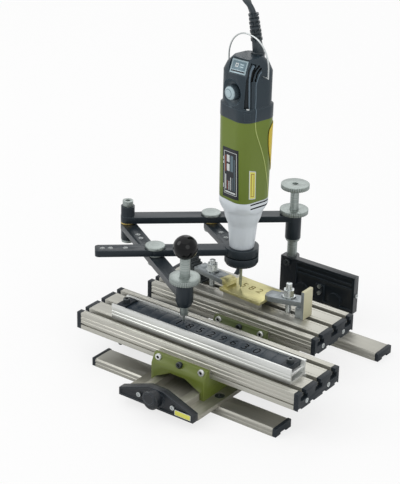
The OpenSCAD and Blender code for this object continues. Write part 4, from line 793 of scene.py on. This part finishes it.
plain = {
    "base_rail": (shaded_rail_metal, 0.3), "front_foot": (shaded_foot_metal, 0.3), "rear_foot": (shaded_foot_metal, 0.3),
    "foot_caps": (cap_plastic, 0.4), "foot_screws": (oxide_steel, 0.2),
    "front_end_plate": (plate_black, 0.4), "end_plate_screws": (bright_steel, 0.2),
    "back_plate": (plate_black, 0.4), "back_plate_screws": (bright_steel, 0.2),
    "column_clamp_screw": (oxide_steel, 0.2), "column_rod": (steel_column, 0.2),
    "column_top_disc": (steel_column, 0.2), "column_bush": (steel_column, 0.2),
    "column_nut": (steel_column, 0.2), "front_saddle": (enamel, 0.5),
    "rear_saddle": (shaded_rear_enamel, 0.5), "front_gib": (extruded, 0.2), "rear_gib": (extruded, 0.2),
    "front_saddle_screws": (nickel_steel_and_hole_light, 0.15, (), saddle_marks("front_saddle_screws")),
    "rear_saddle_screws": (nickel_steel_and_hole_light, 0.15, (), saddle_marks("rear_saddle_screws")),
    "front_table": (extruded, 0.25), "rear_table": (extruded, 0.25),
    "front_table_caps": (cap_plastic, 0.3), "rear_table_caps": (cap_plastic, 0.3),
    "front_cap_screws": (bright_steel, 0.15), "rear_cap_screws": (bright_steel, 0.15),
    "template_rail": (holder_metal, 0.2), "template_tiles": (tile_black, 0.25, tile_cuts),
    "template_stops": (cap_plastic, 0.3), "engraved_plate": (brass_plate, 0.2, brass_cuts),
    "plate_packing": (extruded, 0.3), "clamp_bars": (bare_steel, 0.4),
    "clamp_studs": (bright_steel, 0.2), "clamp_nuts": (bright_steel, 0.25),
    "step_block": (oxide_steel, 0.3),
    # Faces of the heel block turned to -Y take the grey steel as a painted reflection; the part
    # short of heel_split is real steel
    "heel_block": (laminate, 0.3, (),
                   ((bare_steel, lambda c, n: c.x < heel_split or n.y < -0.5),)),
    "main_arm": (arm_black, 0.5),
    "stylus_arm": (arm_black, 0.5, (), painted_light_bores(ELBOW, (ELBOW, STYLUS), 31.6, 40.4)),
    "tool_bar": (arm_black, 0.5, (), painted_light_bores(INNER, (COLUMN, ELBOW), 29.6, 44.6, 52.6)),
    "short_link": (arm_black, 0.5, (), painted_light_bores(MIDDLE, (ELBOW, STYLUS), 28, 41)),
    "elbow_pivot": (steel_elbow, 0.3), "middle_pivot": (steel_middle, 0.3),
    "inner_pivot": (steel_inner, 0.3),
    "arm_washers": (brass_turned, 0.1), "stylus_rod": (steel_stylus, 0.2),
    "stylus_nut": (steel_stylus, 0.2), "ball_knob": (phenolic, 0.0),
    "stylus_pin": (steel_stylus, 0.0), "tool_head": (cast_silver, 0.4, head_cuts),
    "holder_nut": (plate_black, 0.2), "tool_body": (shell_green, 0.5),
    "tool_cap": (cap_slate, 0.5, cap_cuts), "speed_dial": (dial_black, 0.2),
    "wire_bail": (bright_steel, 0.0), "spindle": (steel_spindle, 0.1), "mains_plug": (rubber, 0.5)}
made = {node: softened(node, *finish) for node, finish in plain.items()}

# Labels of the tool, with plain bars on them. Corners go round the shell and up
PLATE = [(-46, 218.6), (-23.8, 219.9), (-21.5, 168), (-43.3, 166.7)]
SIGN = [(-12.2, 199.5), (-4.1, 197.1), (-3.1, 167.6), (-11.2, 169.1)]


def within(corners, a0, a1, b0, b1):
    """A part of a four-cornered label, in shares from its left side and its foot."""
    top_left, top_right, low_right, low_left = (Vector(q) for q in corners)
    return [tuple(low_left.lerp(low_right, a).lerp(top_left.lerp(top_right, a), b))
            for a, b in ((a0, b0), (a1, b0), (a1, b1), (a0, b1))]


def label(name, body, slot, *layers):
    """A label of thin layers bent round the shell: corners, shares, height and material."""
    return settle(joined(name, [wrapped(name, within(corners, *shares), high - 0.4, high, material,
                                        0.03) for corners, shares, high, material in layers]),
                  body, slot)


label("rating_plate", "tool_carrier", "tool_black",
      (PLATE, (0, 1, 0, 1), 0.14, label_dark),
      (PLATE, (0.09, 0.91, 0.07, 0.93), 0.17, ink_white),
      (PLATE, (0.115, 0.885, 0.08, 0.92), 0.20, label_dark),
      *[(PLATE, share, 0.23, ink) for share, ink in [
          ((0.03, 0.07, 0.74, 0.80), ink_white), ((0.03, 0.07, 0.66, 0.71), ink_white),
          ((0.03, 0.07, 0.18, 0.26), ink_white), ((0.17, 0.23, 0.52, 0.84), rust_ink),
          ((0.28, 0.46, 0.72, 0.86), ink_white), ((0.28, 0.46, 0.54, 0.68), ink_white),
          ((0.52, 0.70, 0.54, 0.86), label_mid), ((0.17, 0.23, 0.16, 0.46), ink_white),
          ((0.29, 0.33, 0.16, 0.34), rust_ink), ((0.40, 0.45, 0.16, 0.34), ink_white),
          ((0.52, 0.56, 0.16, 0.42), ink_white), ((0.63, 0.67, 0.16, 0.42), label_mid),
          ((0.76, 0.80, 0.16, 0.80), label_mid), ((0.17, 0.84, 0.10, 0.13), ink_white)]])
label("yellow_sign", "tool_carrier", None,
      (SIGN, (0, 1, 0, 1), 0.15, ink_white), (SIGN, (0.10, 0.90, 0.03, 0.97), 0.19, label_yellow),
      (SIGN, (0.26, 0.74, 0.09, 0.91), 0.22, rust_ink),
      (SIGN, (0.34, 0.66, 0.11, 0.89), 0.24, label_yellow))

# The grip runs round the back of the shell, and a moulded bead parts the shell's halves. The grip
# is the same on both sides of GRIP_MIDDLE, and its seat shows as a dark line of painted shade round
# it
GRIP_MIDDLE, SEAT_SHARE = (35.4, 217), 0.975
GRIP = [(19.4, 243.4), (12.8, 240.5), (9.7, 235.2), (9.9, 221.6), (12.4, 210.3), (19.1, 194),
        (24, 189.9)]
grip_line = closed(GRIP + [(2 * GRIP_MIDDLE[0] - a, z) for a, z in GRIP[::-1]])
settle(wrapped("grip_seat", grip_line, -0.6, 0.25, painted_shade_black, 0.1), "tool_carrier", None)
middle = Vector(GRIP_MIDDLE)
settle(wrapped("grip_panel", [tuple(middle + (Vector(q) - middle) * SEAT_SHARE) for q in grip_line],
               -0.6, 0.8, yellow_grip, 0.5), "tool_carrier", None)
settle(wrapped("shell_bead", ribbon([(-7.9, 249), (-6.2, 238.8), (-1.8, 227.4), (2.7, 216),
                                     (6.7, 203.5), (9.9, 189.9), (12.8, 176.2), (14, 165)], 0.45),
               -0.5, 0.3, bead_green, 0.25), "tool_carrier", "tool_green")

# Two beads along the channel of the cap, the boss at its foot, and the screw in it
settle(joined("cap_beads", [wrapped("bead", ribbon(line, half), -3, high, bead_grey, 0.3)
                            for line, half, high in (
    ([(-7.7, 249.4), (-7.1, 271.3), (-7.5, 285.4), (-6.1, 290.4), (-4, 295.2), (0, 298)], 0.5, 0.4),
    ([(-13.6, 263.1), (-14.2, 282.3), (-14.2, 294.3), (-10.5, 301.1), (-6, 304)], 0.8, -0.3))]
    + [wrapped("boss", [(-20, 259.8), (-13.7, 258.7), (-13.9, 250.6), (-19.8, 251.6)], -0.5, 0.7,
               cap_slate, 0.4)]), "tool_carrier", "tool_black")
channel_foot = on_shell(-15.5, 262, -1.4) / MM
settle(turned("channel_screw", [(0, 0), (1.9, 0), (1.9, 1.0), (1.6, 1.3), (0.9, 1.3), (0.9, 0.4),
                                (0, 0.4)], bright_steel,
              Matrix.Translation(channel_foot * MM)), "tool_carrier", "steel")

# The small label on the slope of the cap
settle(joined("cap_label", [
    slab("pad", pad_centre, pad_u, pad_v, rect, low, high, material, edge)
    for rect, low, high, material, edge in [
        ((-1, 1, -1, 1), -1, 0.3, label_grey, 0.2),
        ((-0.84, 0.84, -0.76, 0.46), -1, 0.36, label_mid, 0.05),
        ((-0.84, 0.84, 0.58, 0.78), -1, 0.36, label_dark, 0.05),
        ((0.1, 0.45, -0.45, 0.1), -1, 0.42, ink_white, 0.05),
        ((0.18, 0.37, -0.32, -0.03), -1, 0.45, label_mid, 0.05),
        ((-0.6, -0.1, -0.45, -0.25), -1, 0.42, label_grey, 0.05),
        ((-0.6, -0.1, -0.1, 0.1), -1, 0.42, label_grey, 0.05)]]), "tool_carrier", "tool_black")

# The pale face of the speed dial, with a ring and a pointer
face_place = in_tool @ Matrix.Translation((0, -21.7 * MM, 275.4 * MM)) @ Matrix.Rotation(
    pi / 2, 4, "X")
settle(joined("dial_face", [
    turned("face", [(0, -1), (6.6, -1), (6.6, 0.8), (6.2, 1.5), (5.2, 2.1), (3.2, 2.5), (0, 2.6)],
           dial_smoke, face_place),
    turned("ring", [(0, 1), (4.4, 1), (4.4, 2.38), (4.2, 2.45), (0, 2.7)], label_mid, face_place),
    turned("hub", [(0, 1), (3.9, 1), (3.9, 2.52), (3.6, 2.66), (0, 2.85)], dial_smoke,
           face_place)]), "dial", "tool_black")

# Cord protector: a tapered core with split ribs on it, leaning the way the cord goes
PROTECTOR_BASE, PROTECTOR_LEAN = Vector((-21.947, 46.261, 311)), Vector((-4.85, -3.46, 38))
leaning = (Matrix.Translation(PROTECTOR_BASE * MM)
           @ PROTECTOR_LEAN.to_track_quat("Z", "Y").to_matrix().to_4x4())
ribs = grown("ribs", rib_row, rubber, Ribs=7, Pitch=4.05 * MM, First=12.6 * MM, Radius=4.3 * MM,
             Depth=2.9 * MM, Thickness=2.1 * MM, Taper=-0.02)
ribs.data.transform(leaning)
core = turned("core", [(0, -3), (5.3, -3), (5.3, 3), (4.7, 11), (3.9, 12), (3.4, 36), (3.6, 37.2),
                       (3.6, 38.3), (0, 38.3)], rubber, leaning)
seat = turned("seat", [(0, -13.7), (6.5, -13.7), (6.5, -0.6), (6.0, 0), (0, 0)], rubber,
              Matrix.Translation(PROTECTOR_BASE * MM))
settle(joined("cord_protector_ribbed", [core, ribs, seat]), "tool_carrier", "cord_rubber",
       "cord_protector")

# Cap screws of the two stops, standing on them
STOP_IN = 5
screw = turned("stop_screw", [(0, 0), (2.8, 0), (3.5, 0.15), (3.5, 3.7), (3.2, 4), (1.7, 4),
                              (1.7, 2.2), (0, 2.2)], oxide_steel, Matrix(), 32)
stops = [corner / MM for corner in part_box("template_stops")]
pair = grown("stop_screws", screw_pair, oxide_steel,
             Spread=(stops[1].x - stops[0].x - 2 * STOP_IN) * MM, Screw=screw)
bpy.data.objects.remove(screw)
pair.data.transform(Matrix.Translation(Vector((
    stops[0].x + STOP_IN, (stops[0].y + stops[1].y) / 2, stops[1].z)) * MM))
settle(pair, body_of["template_stops"], "black_steel")

# Brass jaw on the nose of the left clamp bar, with a serrated edge. Its profile is (along, up)
CLAMP_AT, CLAMP_TURN, JAW_HALF = (-64.7, 41.4), -10, 7.1
JAW = [(18.5, 0.1), (18.5, 6.1), (26.2, 6.1), (28.6, 4.6), (29, 3.9), (28.1, 3.3), (29, 2.7),
       (28.1, 2.1), (29, 1.5), (28.1, 0.9), (28.6, 0.1)]
count = len(JAW)
jaw = solid("clamp_jaw", [(a, side * JAW_HALF, z) for side in (-1, 1) for a, z in JAW],
            [tuple(range(count)), tuple(range(2 * count - 1, count - 1, -1))]
            + [(k, (k + 1) % count, (k + 1) % count + count, k + count) for k in range(count)],
            brass_plate)
jaw.data.transform(Matrix.Translation(Vector((*CLAMP_AT, brass_high.z)) * MM)
                   @ Matrix.Rotation(radians(CLAMP_TURN), 4, "Z"))
applied(jaw, "BEVEL", width=0.2 * MM, segments=2)
smoothed(jaw)
settle(jaw, "rear_cross_table", "brass")

# Cover on the boss of the front end plate
settle(turned("boss_cover", [(0, -0.5), (7.2, -0.5), (7.2, 0.7), (6.6, 1.3), (5.4, 1.5), (5.1, 1.1),
                             (0, 1.1)], plate_black,
              Matrix.Translation(Vector((0, -147, 24.75)) * MM) @ Matrix.Rotation(
                  pi / 2, 4, "X")), "frame", "cap_black")

# Blank label on the front end plate, whose face is at PLATE_FACE
PLATE_FACE = -137
settle(joined("plate_label", [
    slab("plate_label", Vector((32, PLATE_FACE, 13.75)), Vector((9.3, 0, 0)), Vector((0, 0, 2.75)),
         (-a, a, -b, b), -0.4, high, material, 0.05)
    for a, b, high, material in ((1, 1, 0.2, ink_white), (0.95, 0.86, 0.25, label_yellow))]),
    "frame", None)


# Room: a white floor that keeps the shadow, a white sky and four large lamps. FLOOR_GLOW is the
# share of plain white in the floor where the camera sees it. The sky is white to the camera and in
# shiny metal, and weaker where it lights the object
FLOOR_HALF, FLOOR_Z, FLOOR_GLOW = 6000, -0.05, 0.75
SKY_LIGHT, SKY_SEEN = 0.62, 0.95
floor_paint = coated("matt_white_paint", "#f4f4f4", 4.0, 0.8, bump=0.01, spread=0.0)
painted = floor_paint.node_tree
seen_floor = add(painted, "ShaderNodeMath", {
    0: add(painted, "ShaderNodeLightPath").outputs["Is Camera Ray"], 1: FLOOR_GLOW},
    operation="MULTIPLY")
glow = add(painted, "ShaderNodeEmission", {"Color": (1, 1, 1, 1), "Strength": 1.0})
mixed = add(painted, "ShaderNodeMixShader", {
    0: seen_floor.outputs[0], 1: painted.nodes["Principled BSDF"].outputs[0], 2: glow.outputs[0]})
painted.links.new(mixed.outputs[0], painted.nodes["Material Output"].inputs["Surface"])
floor = solid("floor", [(x * FLOOR_HALF, y * FLOOR_HALF, FLOOR_Z) for x, y in (
    (-1, -1), (1, -1), (1, 1), (-1, 1))], [(0, 1, 2, 3)], floor_paint)

world = bpy.data.worlds.new("studio")
bpy.context.scene.world = world
world.use_nodes = True
sky = world.node_tree
rays = add(sky, "ShaderNodeLightPath")
seen = add(sky, "ShaderNodeMath", {0: rays.outputs["Is Camera Ray"],
                                   1: rays.outputs["Is Glossy Ray"]}, operation="MAXIMUM")
strength = add(sky, "ShaderNodeMapRange", {
    "Value": seen.outputs[0], "To Min": SKY_LIGHT, "To Max": SKY_SEEN})
background = sky.nodes["Background"]
background.inputs["Color"].default_value = (1, 1, 1, 1)
sky.links.new(strength.outputs[0], background.inputs["Strength"])

# Each lamp with its place and width in metres and its power in watts, turned to LAMP_AIM
LAMP_AIM = Vector((0, 0, 0.12))
for name, place, width, power in [
        ("overhead", (-0.2, 0.0, 2.2), 3.4, 13), ("key", (-1.6, -1.2, 1.5), 1.4, 13),
        ("fill", (1.7, -1.1, 1.2), 1.6, 9), ("rim", (-0.9, 1.6, 1.3), 1.2, 4)]:
    lamp = bpy.data.lights.new(name, "AREA")
    lamp.shape, lamp.size, lamp.energy = "DISK", width, power
    light = bpy.data.objects.new(name, lamp)
    bpy.context.scene.collection.objects.link(light)
    light.location = place
    light.rotation_euler = (LAMP_AIM - Vector(place)).to_track_quat("-Z", "Y").to_euler()
